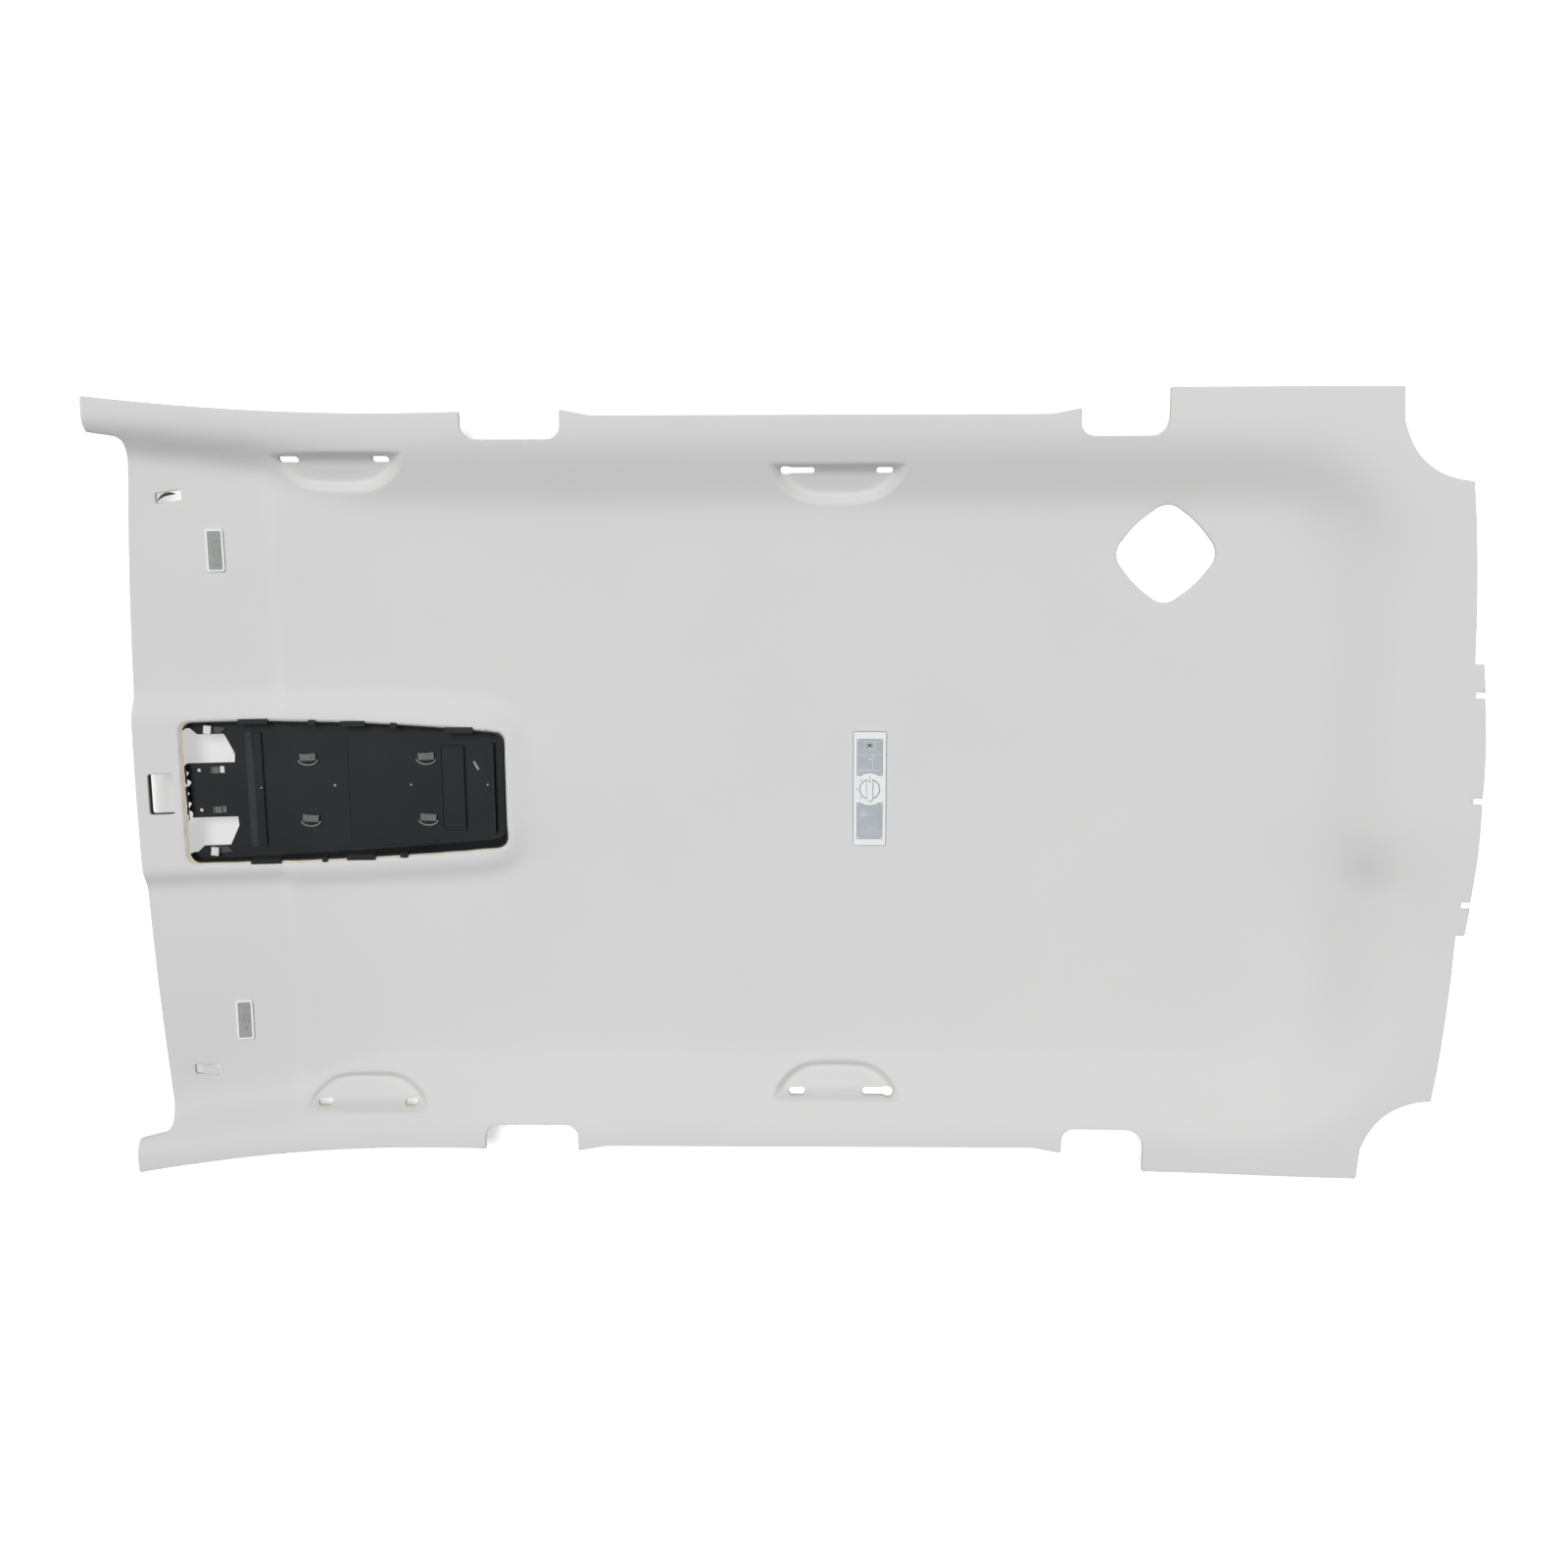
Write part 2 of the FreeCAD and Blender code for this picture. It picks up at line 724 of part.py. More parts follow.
def lip(x, length, side):
    """A tongue that stands in the opening and hooks over the cabin face."""
    half = min(console_half(x - length / 2), console_half(x + length / 2)) - lip_clearance
    y_in = half - carrier_t
    y_out = console_half(x) + lip_over
    hook = sheet(cabin, -(glue_gap + lip_t), lip_t)
    hook = hook.common(block(x - length / 2, x + length / 2, y_in, y_out, 0.0, over))
    stem = below(cabin, -(glue_gap + lip_t)).common(
        block(x - length / 2, x + length / 2, y_in, y_in + carrier_t - lip_step, carrier_z(x), over))
    tongue = hook.fuse(stem)
    return tongue if side > 0 else mirrored(tongue)


def console_frame():
    above_floor = below(carrier, -over).cut(below(carrier, 0.0))
    space = carrier_space(-carrier_t).common(above_floor)
    body = carrier_space(0.0).common(below(cabin, 1.0)).cut(below(carrier, carrier_t))
    free = prism(console_wire(-fit_gap), under, over).fuse(below(cabin, board_t + glue_gap))
    tray = body.cut(space).common(free)
    ring = prism(console_wire(carrier_flange_w), under, over).cut(prism(console_wire(-2.0), under, over))
    flange = sheet(cabin, board_t + glue_gap, carrier_flange_t).common(ring)
    frame = tray.fuse(flange)
    low = carrier_z(console_rear_x) - carrier_t
    features = []
    for x in boss_x:
        for side in (1, -1):
            features.append(plate(x, side * boss_y, boss_size[0], boss_size[1], boss_size[1] * boss_end_share,
                                  carrier_z(x) - carrier_t, carrier_z(x) + boss_h))
    y_side = console_half(step_rib_x) - rib_inset
    features.append(block(step_rib_x - step_rib_w / 2, step_rib_x + step_rib_w / 2, -y_side, y_side,
                          carrier_z(step_rib_x) - carrier_t, carrier_z(step_rib_x) + step_rib_h))
    outer = plate(bin_x, 0.0, bin_size[0], bin_size[1], bin_wall, low, carrier_z(bin_x) + bin_h)
    inner = plate(bin_x, 0.0, bin_size[0] - 2 * bin_wall, bin_size[1] - 2 * bin_wall, 0.0,
                  carrier_z(bin_x) + bin_h - bin_wall, over)
    features.append(outer.cut(inner))
    y_rear = console_half(rear_rib_x) - rib_inset
    features.append(block(rear_rib_x - rear_rib_w / 2, rear_rib_x + rear_rib_w / 2, -y_rear, y_rear,
                          low, carrier_z(rear_rib_x) + rear_rib_h))
    frame = frame.fuse(features)
    cutters = []
    well = (boss_size[0] - 2 * boss_wall, boss_size[1] - 2 * boss_wall)
    for x in boss_x:
        for side in (1, -1):
            cutters.append(plate(x, side * boss_y, well[0], well[1], well[1] * boss_end_share, carrier_z(x), over))
    for side in (1, -1):
        cutters.append(prism(window_wire(side), under, carrier_z(console_front_x) + 20.0))
        cutters.append(disc(plate_hole_x, side * plate_hole_y, plate_hole_r, under, over))
    y_seam = console_half(seam_x) - rib_inset
    cutters.append(block(seam_x - seam_w / 2, seam_x + seam_w / 2, -y_seam, y_seam,
                         carrier_z(seam_x) - seam_depth, over))
    frame = frame.cut(cutters)
    lips = [lip(x, length, 1) for x, length in lips_left]
    lips += [lip(x, length, -1) for x, length in lips_right]
    return frame.fuse(lips).removeSplitter()


def console_spring_clips():
    """Bowed steel leaves, one in each oblong boss of the carrier."""
    half = spring_clip_size[0] / 2
    wide = spring_clip_size[1]
    flat = half * spring_clip_flat
    foot = half - spring_clip_foot
    rise = boss_h - clip_t / 2
    profile = [(-half, 0.0), (-flat, rise), (flat, rise), (half, 0.0), (foot, 0.0),
               (flat - clip_t / 2, rise - clip_t), (clip_t / 2 - flat, rise - clip_t), (-foot, 0.0)]
    clips = []
    for x in boss_x:
        for side in (1, -1):
            points = [Vector(x + along, side * boss_y - wide / 2, carrier_z(x) + up) for along, up in profile]
            clips.append(Part.Face(Part.makePolygon(points + points[:1])).extrude(Vector(0.0, wide, 0.0)))
    return Part.makeCompound(clips)


def console_plate_clips():
    length, width, height = plate_clip_size
    clips = []
    floor = below(carrier, -glue_gap)
    z = carrier_z(plate_clip_x)
    for side in (1, -1):
        x0 = plate_clip_x - length / 2
        y0 = side * plate_hole_y - width / 2
        foot = block(x0, x0 + length, y0, y0 + width, z - height, z + plate_clip_t)
        hook = block(x0, x0 + plate_clip_t, y0, y0 + width, z - height, z + height)
        clips.append(foot.fuse(hook).removeSplitter().cut(floor))
    return Part.makeCompound(clips)


def console_locating_pegs():
    pegs = []
    for side in (1, -1):
        y = side * (console_half(peg_x) - carrier_draft_in - 2.0)
        z = carrier_z(peg_x)
        neck_z = z + peg_h * (1.0 - peg_head_share)
        stem = disc(peg_x, y, peg_r * peg_stem_share, z - carrier_t, neck_z).cut(below(carrier, -glue_gap))
        head = Part.makeCone(peg_r, peg_r * peg_stem_share, peg_h * peg_head_share, Vector(peg_x, y, neck_z))
        pegs.append(stem.fuse(head).removeSplitter())
    return Part.makeCompound(pegs)


# Sensor window
def sensor_window_frame():
    top = -board_t - seat_gap
    wall = sensor_plate(sensor_wall, under, over).common(layer(sensor_x, 0.0, -sensor_depth, top))
    rim = sensor_plate(sensor_rim, under, over).common(layer(sensor_x, 0.0, top - sensor_wall, top))
    return wall.fuse(rim).cut(sensor_plate(0.0, under, over)).removeSplitter()


# Visor clips
def visor_clip(side):
    """Flat retainer behind the board, with a spring tongue that shows in the opening."""
    y = side * visor_hole_y
    top = -board_t - seat_gap
    ring = prism(visor_hole_wire(side, visor_plate_rim), under, over)
    ring = ring.cut(prism(visor_hole_wire(side, visor_plate_clear), under, over))
    base = ring.common(layer(visor_hole_x, y, top - visor_plate_t, top))
    length, width, height = visor_tongue
    x0 = visor_hole_x - visor_hole[0] / 2 - visor_plate_clear - visor_plate_t
    y0 = y - side * visor_hole_slant - width / 2
    tongue = block(x0, x0 + length, y0, y0 + width, 0.0, over)
    tongue = tongue.common(layer(visor_hole_x, y, top - visor_plate_t, top + height))
    inside = prism(visor_hole_wire(side, -seat_gap), under, over)
    tongue = tongue.common(inside.fuse(layer(visor_hole_x, y, top - visor_plate_t, top)))
    return base.fuse(tongue).removeSplitter()


# Dome lamp
def dome_cut():
    gap = dome_cut_gap
    return plate(dome_x, 0.0, dome_body[0] + 2 * gap, dome_body[1] + 2 * gap, 2.0, under, over)


def dome_window(side, shrink, z0, z1):
    """One lens window: a rectangle whose inner end is cut by the round dial."""
    y0, y1 = dome_window_y
    w = dome_window_w / 2.0 - shrink
    lo, hi = (y0 + shrink, y1 - shrink) if side > 0 else (-y1 + shrink, -y0 - shrink)
    space = block(-w, w, lo, hi, z0, z1)
    return space.cut(disc(0.0, 0.0, dome_dial_r + shrink, z0 - 1.0, z1 + 1.0))


def dome_bezel():
    low = fit_gap
    body = plate(0.0, 0.0, dome_size[0], dome_size[1], dome_bezel_r, low, dome_bezel_h)
    top_edges = [e for e in body.Edges if abs(e.BoundBox.ZMin - dome_bezel_h) < 1e-6
                 and abs(e.BoundBox.ZMax - dome_bezel_h) < 1e-6]
    body = body.makeChamfer(dome_bezel_chamfer, top_edges)
    for side in (1, -1):
        body = body.cut(dome_window(side, 0.0, low - 1.0, dome_bezel_h + 1.0))
    body = body.cut(disc(0.0, 0.0, knob_recess_r, dome_bezel_h - knob_recess_depth, dome_bezel_h + 1.0))
    body = body.cut(disc(0.0, 0.0, knob_stem_r + 0.2, low - 1.0, dome_bezel_h + 1.0))
    marks = []
    for angle in switch_positions:
        a = math.radians(90.0 + angle)
        marks.append(disc(mark_r * math.cos(a), mark_r * math.sin(a), mark_size / 2.0,
                          dome_bezel_h - mark_depth, dome_bezel_h + 1.0))
    return body.cut(marks)


def dome_lens(side):
    low = fit_gap + 0.2
    top = low + dome_lens_t
    lens = dome_window(side, dome_lens_gap, low, top + dome_lens_crown)
    half = dome_window_w / 2.0
    radius = (half * half + dome_lens_crown ** 2) / (2.0 * dome_lens_crown)
    arch = Part.makeCylinder(radius, 2.0 * dome_size[1],
                             Vector(0.0, -dome_size[1], top + dome_lens_crown - radius), Vector(0, 1, 0))
    return lens.common(arch)


def dome_housing():
    w = dome_body[0]
    l = dome_body[1]
    outer = plate(0.0, 0.0, w, l, 2.0, -dome_depth, fit_gap)
    inner = plate(0.0, 0.0, w - 2 * dome_wall, l - 2 * dome_wall, 1.0, -dome_depth + dome_wall, fit_gap + 1.0)
    return outer.cut(inner)


def dish(side, grow, top):
    """Tapered dish under one lens."""
    wires = []
    for z, inset in ((-dome_dish_depth - grow, dome_dish_draft), (top, 0.0)):
        hx = dome_dish[0] / 2.0 - inset + grow
        hy = dome_dish[1] / 2.0 - inset + grow
        y = side * dome_dish_y
        corners = [(-hx, y - hy, 0, 0), (hx, y - hy, 0, 0), (hx, y + hy, 0, 0), (-hx, y + hy, 0, 0)]
        wires.append(corner_wire(corners, z))
    return Part.makeLoft(wires, True, True)


def dome_reflector():
    w = dome_body[0] - 2 * dome_wall - 2 * fit_gap
    l = dome_body[1] - 2 * dome_wall - 2 * fit_gap
    tray = plate(0.0, 0.0, w, l, 1.0, fit_gap - dome_tray_t, fit_gap)
    tray = tray.fuse([dish(side, dome_tray_t, fit_gap - dome_tray_t / 2.0) for side in (1, -1)])
    tray = tray.cut([dish(side, 0.0, fit_gap) for side in (1, -1)])
    return tray.cut(disc(0.0, 0.0, cup_r + fit_gap, -dome_depth, fit_gap + 1.0))


def bulb(radius, length, z):
    """Festoon bulb along Y: glass barrel that tapers to a metal cap at each end."""
    cap = bulb_cap_share * radius
    half = length / 2
    profile = [(0.0, -half), (cap, -half), (cap, -half + bulb_cap_l), (radius, -half + 1.4 * bulb_cap_l)]
    profile += [(r, -y) for r, y in reversed(profile)]
    wire = Part.makePolygon([Vector(r, y, 0) for r, y in profile + profile[:1]])
    solid = Part.Face(wire).revolve(Vector(0, 0, 0), Vector(0, 1, 0), 360)
    solid.translate(Vector(0, 0, z))
    return solid


def contacts(y_mid, reach_y, floor_z, bulb_at, width, thick):
    """Two brass ears that stand on the dish floor at the bulb's ends."""
    ears = []
    for end in (1, -1):
        y = y_mid + end * reach_y
        ear = block(-width / 2, width / 2, min(y, y + end * thick), max(y, y + end * thick),
                    floor_z, bulb_at + width * 0.5)
        y_foot = y + end * (thick + 2.5)
        foot = block(-width / 2, width / 2, min(y, y_foot), max(y, y_foot), floor_z, floor_z + thick)
        ears.append(ear.fuse(foot).removeSplitter())
    return Part.makeCompound(ears)


def dome_switch_cup():
    outer = disc(0.0, 0.0, cup_r, -dome_depth + dome_wall, fit_gap)
    hole = disc(0.0, 0.0, knob_stem_r + knob_stem_gap, fit_gap - knob_stem_l - 1.0, fit_gap + 1.0)
    return outer.cut(hole)


def dome_knob():
    """Round knob with a raised grip bar and the stem that turns in the switch cup."""
    seat_z = dome_bezel_h - knob_recess_depth + knob_lift
    top = seat_z + knob_disc_t
    base = disc(0.0, 0.0, knob_r, seat_z, top)
    width, length, height = knob_grip
    grip = plate(0.0, 0.0, width, length, width * knob_end_share, top - 0.5, top + height)
    ends = [e for e in grip.Edges if abs(e.BoundBox.ZMin - top - height) < 1e-6]
    grip = grip.makeChamfer(knob_chamfer, ends)
    y = length / 2 - knob_pointer[1]
    pointer = block(-knob_pointer[0] / 2, knob_pointer[0] / 2, y - knob_pointer[1] / 2, y + knob_pointer[1] / 2,
                    top + height - knob_pointer[2], over)
    stem = disc(0.0, 0.0, knob_stem_r, fit_gap - knob_stem_l, seat_z + 0.5)
    return base.fuse([grip, stem]).removeSplitter().cut(pointer)


def dome_spring_clips():
    """Sprung steel leaves on the housing's end walls, which bear under the panel."""
    clips = []
    wall_y = dome_body[1] / 2.0
    under_z = -board_t - fit_gap
    for end in (1, -1):
        points = [(wall_y, -dome_depth + 3.0), (wall_y + clip_t, -dome_depth + 3.0),
                  (wall_y + dome_clip_reach, under_z - 1.4), (wall_y + dome_clip_reach, under_z),
                  (wall_y + dome_cut_gap * 0.6, under_z), (wall_y + dome_cut_gap * 0.6, under_z - 1.0),
                  (wall_y + dome_clip_reach - 1.2, under_z - 1.6), (wall_y, -dome_depth + 5.0)]
        profile = [Vector(-dome_clip_w / 2, end * y, z) for y, z in points]
        face = Part.Face(Part.makePolygon(profile + [profile[0]]))
        clips.append(face.extrude(Vector(dome_clip_w, 0, 0)))
    return Part.makeCompound(clips)


# Vanity lamps
def vanity_body_size():
    return vanity_size[0] - 2 * vanity_body_inset, vanity_size[1] - 2 * vanity_body_inset


def vanity_cut(side):
    w, l = vanity_body_size()
    gap = dome_cut_gap * 0.8
    hole = plate(0.0, 0.0, w + 2 * gap, l + 2 * gap, 2.0, -2 * vanity_depth, 2 * vanity_depth)
    return placed(hole, seat(vanity_x, side * vanity_y))


def vanity_bezel():
    outer = plate(0.0, 0.0, vanity_size[0], vanity_size[1], vanity_bezel_r, fit_gap, vanity_bezel_h)
    top_edges = [e for e in outer.Edges if abs(e.BoundBox.ZMin - vanity_bezel_h) < 1e-6]
    outer = outer.makeChamfer(vanity_bezel_chamfer, top_edges)
    inner = plate(0.0, 0.0, vanity_size[0] - 2 * vanity_rim, vanity_size[1] - 2 * vanity_rim, 2.0, 0.0, 20.0)
    return outer.cut(inner)


def vanity_lens():
    gap = vanity_lens_gap
    w = vanity_size[0] - 2 * vanity_rim - 2 * gap
    l = vanity_size[1] - 2 * vanity_rim - 2 * gap
    low = fit_gap + 0.2
    return plate(0.0, 0.0, w, l, 1.8, low, low + vanity_lens_t)


def vanity_housing():
    w, l = vanity_body_size()
    outer = plate(0.0, 0.0, w, l, 1.6, -vanity_depth, fit_gap)
    inner = plate(0.0, 0.0, w - 2 * vanity_wall, l - 2 * vanity_wall, 1.0, -vanity_depth + vanity_wall, 20.0)
    return outer.cut(inner)


def spacer(x, side):
    """Foam block from the surface below up to the board."""
    y = side * spacer_y
    foot = plate(x, y, spacer_size[0], spacer_size[1], spacer_r, 0.0, over)
    return foot.common(layer(x, y, -over, -board_t - seat_gap))


def all_parts():
    parts = {}
    parts["headliner_panel"] = headliner_panel()
    parts["console_frame"] = console_frame()
    parts["console_spring_clips"] = console_spring_clips()
    parts["console_plate_clips"] = console_plate_clips()
    parts["console_locating_pegs"] = console_locating_pegs()
    parts["sensor_window_frame"] = sensor_window_frame()
    parts["visor_clip_left"] = visor_clip(1)
    parts["visor_clip_right"] = visor_clip(-1)
    dome = seat(dome_x, 0.0)
    lamp = {
        "dome_bezel": dome_bezel(),
        "dome_lens_left": dome_lens(1),
        "dome_lens_right": dome_lens(-1),
        "dome_housing": dome_housing(),
        "dome_reflector": dome_reflector(),
        "dome_switch_cup": dome_switch_cup(),
        "dome_knob": dome_knob(),
        "dome_spring_clips": dome_spring_clips(),
    }
    dish_floor = -dome_dish_depth
    ear_y = bulb_l / 2.0
    for hand, side in (("left", 1), ("right", -1)):
        glass = bulb(bulb_r, bulb_l, bulb_z)
        glass.translate(Vector(0.0, side * dome_dish_y, 0.0))
        lamp["dome_bulb_" + hand] = glass
        lamp["dome_contacts_" + hand] = contacts(side * dome_dish_y, ear_y, dish_floor, bulb_z,
                                                 contact_w, contact_t)
    for name, shape in lamp.items():
        parts[name] = placed(shape, dome)
    for hand, side in (("left", 1), ("right", -1)):
        where = seat(vanity_x, side * vanity_y)
        floor = -vanity_depth + vanity_wall
        vanity = {
            "vanity_bezel_": vanity_bezel(),
            "vanity_lens_": vanity_lens(),
            "vanity_housing_": vanity_housing(),
            "vanity_bulb_": bulb(vanity_bulb_r, vanity_bulb_l, vanity_bulb_z),
            "vanity_contacts_": contacts(0.0, vanity_bulb_l / 2.0, floor, vanity_bulb_z,
                                         vanity_contact_w, vanity_contact_t),
        }
        for name, shape in vanity.items():
            parts[name + hand] = placed(shape, where)
    for end, x in (("front", spacer_x[0]), ("rear", spacer_x[1])):
        for hand, side in (("left", 1), ("right", -1)):
            parts["spacer_" + end + "_" + hand] = spacer(x, side)
    return parts


os.makedirs("parts", exist_ok=True)
for node, shape in all_parts().items():
    shape.exportStep("parts/" + node + ".step")
    box = shape.BoundBox
    print(node, "solids", len(shape.Solids), "valid", shape.isValid(), "volume", round(shape.Volume),
          "x", round(box.XMin, 1), round(box.XMax, 1), "y", round(box.YMin, 1), round(box.YMax, 1),
          "z", round(box.ZMin, 1), round(box.ZMax, 1))
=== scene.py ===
# %% [markdown]
# # Car roof lining, cabin side up
# The looks of a moulded car roof lining that lies on its roof side. The construction model gives
# the frame, and the small fittings on it keep their construction meshes. The lining itself is
# built again here as one dense surface, from the same formula and the same sizes.

# %% Imports and the frame
import math

import bpy
import numpy as np
from mathutils import Matrix, Vector
from mathutils.geometry import delaunay_2d_cdt
from mathutils.kdtree import KDTree


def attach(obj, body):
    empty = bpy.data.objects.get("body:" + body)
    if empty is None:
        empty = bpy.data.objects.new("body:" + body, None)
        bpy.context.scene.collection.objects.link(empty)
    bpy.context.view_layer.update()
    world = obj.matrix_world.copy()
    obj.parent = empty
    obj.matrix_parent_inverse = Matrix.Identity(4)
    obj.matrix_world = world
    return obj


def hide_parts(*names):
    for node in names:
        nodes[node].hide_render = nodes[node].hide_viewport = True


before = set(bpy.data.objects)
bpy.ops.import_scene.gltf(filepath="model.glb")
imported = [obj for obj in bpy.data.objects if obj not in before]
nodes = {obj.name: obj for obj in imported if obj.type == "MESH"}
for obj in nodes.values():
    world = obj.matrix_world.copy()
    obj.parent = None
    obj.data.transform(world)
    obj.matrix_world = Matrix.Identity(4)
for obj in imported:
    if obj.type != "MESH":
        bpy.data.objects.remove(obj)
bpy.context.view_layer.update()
MM = 0.001

# %% [markdown]
# ## Sizes
# Millimetres in the part's own frame: X to the rear of the car, Y to its left, Z out of the cabin
# face. The origin is the middle of the footprint, on the surface that the lining lies on.

# %% Sizes of the board, its slopes and its bow
board_t = 5.0
spacer_t = 20.0
field_z = spacer_t + board_t
half_length = 1080.0
front_end = -half_length
crown_rise = 8.0
crown_half_width = 600.0
slope_side_y = 432.0
slope_rear_x = half_length - 262.0
slope_corner_r = 80.0
slope_w = 146.0
slope_rise = 50.0
flange_fall = 0.17
flange_fall_w = 29.0
front_lift_x = front_end + 496.0
front_lift = 50.0
front_lift_span = 500.0
rear_lift_x = half_length - 704.0
rear_lift = 60.0
rear_lift_span = 655.0
visor_step_x = front_end + 244.0
visor_step_w = 18.0
visor_depth = 4.0
visor_side_shift = 80.0
visor_side_flare = 0.2
visor_side_least_w = 24.0
visor_blend_x = front_end + 200.0
visor_blend_w = 240.0

# %% [markdown]
# ## Console opening
# Where the console opening lies and how far the board is raised round it.

# %% Sizes of the console opening and the raised pod round it
console_front_x = front_end + 100.0
console_length = 513.0
console_rear_x = console_front_x + console_length
console_front_half = 116.0
console_rear_half = 94.0
console_side_bow = 6.8
console_corner_r = 16.0
carrier_depth = 12.0
boss_x = (console_front_x + 189.0, console_rear_x - 132.0)
boss_y = 51.0
boss_h = 5.0
plate_hole_y = 33.0
pod_rise = 18.0
pod_margin = 12.0
pod_slope_w = 44.0
pod_corner_r = 50.0
pod_front_inset = 14.0

# %% [markdown]
# ## Outline
# Corners, bows and notches of the plan outline. Most are measured from the front end.

# %% Sizes of the outline
front_x = front_end + 24.0
front_corner = (front_end + 47.0, 566.0)
horn_y = (574.0, 628.0)
side_y = 603.0
side_bow = 11.0
front_pillar_x = (front_end + 568.0, front_end + 722.0)
front_pillar_y = 561.0
front_pillar_r = 29.0
ear_y = 606.0
ear_run = 46.0
waist_y = 597.0
rear_pillar_x = (half_length - 636.0, half_length - 502.0)
rear_pillar_y = 564.0
rear_pillar_r = 27.0
rear_flange_y = 637.0
corner_cut = (half_length - 155.0, 585.0)
corner_cut_bow = 25.0
rear_corner = (half_length - 47.0, 495.0)
rear_edge_x = half_length - 27.0
rear_edge_bow = 3.0
tab_half_w = 217.0
tab_side_x = half_length - 13.0
tab_slot_y = 168.0
tab_slot_w = 10.0
tab_slot_depth = 14.0
edge_r = 3.0

# %% [markdown]
# ## Pockets and openings
# What is pressed into the board or cut through it. One set of sizes serves all four pockets.

# %% Sizes of the pockets and openings
pocket_places = {"front": (front_end + 366.0, 512.0), "rear": (72.0, 493.0)}
pocket_floor = ((32.0, -19.0), (57.0, -13.0), (82.0, 4.0), (87.0, 14.0), (87.0, 14.0))
pocket_floor_z = (-27.0, -10.5)
pocket_mouth = ((38.0, -38.0), (70.0, -29.0), (105.0, 3.0), (108.0, 31.0), (108.0, 31.0))
pocket_mouth_z = (-13.2, 17.9)
handle_hole_v = 19.0
handle_hole_w = 9.0
handle_wide_r = 6.0
handle_holes = {
    "front_left": ((-73.0, 30.0, 0), (71.0, 26.0, 0)),
    "front_right": ((-70.5, 23.0, 0), (74.0, 20.0, 0)),
    "rear_left": ((-63.5, 53.0, -1), (73.0, 26.0, 0)),
    "rear_right": ((-66.0, 26.0, 0), (68.5, 50.0, 1)),
}
belt_place = (half_length - 491.0, 380.0)
belt_half = 77.0
belt_corner_r = 32.0
belt_bow = 3.0
visor_hole_place = (front_end + 101.0, 476.0)
visor_hole = (38.0, 16.0)
visor_hole_slant = 5.0
sensor_x = front_end + 63.0
sensor_size = (38.0, 66.0)
dome_x = 125.0
dome_cut = (47.0, 182.0)
vanity_place = (front_end + 166.0, 389.0)
vanity_cut = (23.6, 63.6)
reach = 40.0
pod_rear_run = 60.0
grid_gap = 5.0

# %% [markdown]
# ## Form of the cabin face
# The height is a sum of simple terms: a crown, a soft slope along the sides and the rear, the bow
# of both ends, the sun visor recess and the pod. A cubic spline over a grid of lines smooths it,
# as in the part's source, so that every fitting meets the lining.


# %% Height formula
def smooth(t):
    """Cubic step from 0 to 1: 3 t^2 - 2 t^3 on a clamped t."""
    t = np.clip(t, 0.0, 1.0)
    return t * t * (3.0 - 2.0 * t)


def rounded_distance(x, y, edge_x, edge_y, radius):
    """Signed distance outside a quadrant with one rounded corner."""
    qx = x - (edge_x - radius)
    qy = y - (edge_y - radius)
    outside = np.hypot(np.maximum(qx, 0.0), np.maximum(qy, 0.0))
    return outside + np.minimum(np.maximum(qx, qy), 0.0) - radius


def lengthwise_lift(x):
    """Both ends bend up as parabolas."""
    front = front_lift * (np.maximum(front_lift_x - x, 0.0) / front_lift_span) ** 2
    rear = rear_lift * (np.maximum(x - rear_lift_x, 0.0) / rear_lift_span) ** 2
    return front + rear


def console_half(x):
    """Half width of the console opening: a taper with a parabolic bow."""
    t = np.clip((x - console_front_x) / console_length, 0.0, None)
    bow = 4.0 * console_side_bow * t * (1.0 - t)
    return console_front_half + (console_rear_half - console_front_half) * t + bow


def pod_height(x, y):
    """Raised pod: full height up to its crest, then a smooth step down to the field."""
    inset = pod_front_inset * (1.0 - smooth((x - visor_step_x) / visor_step_w))
    crest = console_half(x) + pod_margin
    s = rounded_distance(x, np.abs(y), console_rear_x + pod_margin, crest, pod_corner_r)
    return pod_rise * (1.0 - smooth(s / (pod_slope_w - inset)))


def cabin_height(x, y):
    """Height of the cabin face before it is smoothed."""
    y = np.abs(y)
    in_recess = 1.0 - smooth((x - visor_blend_x) / visor_blend_w)
    shift = visor_side_shift * in_recess + visor_side_flare * np.maximum(visor_blend_x - x, 0.0)
    shift = np.minimum(shift, slope_w - visor_side_least_w)
    s = rounded_distance(x, y, slope_rear_x, slope_side_y + shift, slope_corner_r)
    width = slope_w - shift
    rise = slope_rise * smooth(s / width)
    past = np.maximum(s - width, 0.0)
    curl = 0.5 * flange_fall / flange_fall_w * np.minimum(past, flange_fall_w) ** 2
    curl = curl + flange_fall * np.maximum(past - flange_fall_w, 0.0)
    crown = crown_rise * (y / crown_half_width) ** 2
    recess = visor_depth * (1.0 - smooth((x - visor_step_x) / visor_step_w))
    recess = recess * (1.0 - smooth(s / width))
    return field_z + crown + rise - curl + lengthwise_lift(x) - recess + pod_height(x, y)


# %% [markdown]
# ## Spline
# The height is taken on grid lines, and a spline gives it between them.

# %% Spline over the grid
def between(start, end, count):
    return [start + (end - start) * i / count for i in range(count)]


def spaced(lines):
    """The lines without those that come too soon after another."""
    kept = [lines[0]]
    for line in lines[1:-1]:
        if line - kept[-1] > grid_gap and lines[-1] - line > grid_gap:
            kept.append(line)
    return kept + [lines[-1]]


def grid_lines(breaks):
    """Grid lines from breaks, each a place and the number of steps after it."""
    breaks = sorted(breaks)
    lines = []
    for (start, count), (end, _) in zip(breaks, breaks[1:]):
        lines += between(start, end, count)
    return spaced(lines + [breaks[-1][0]])


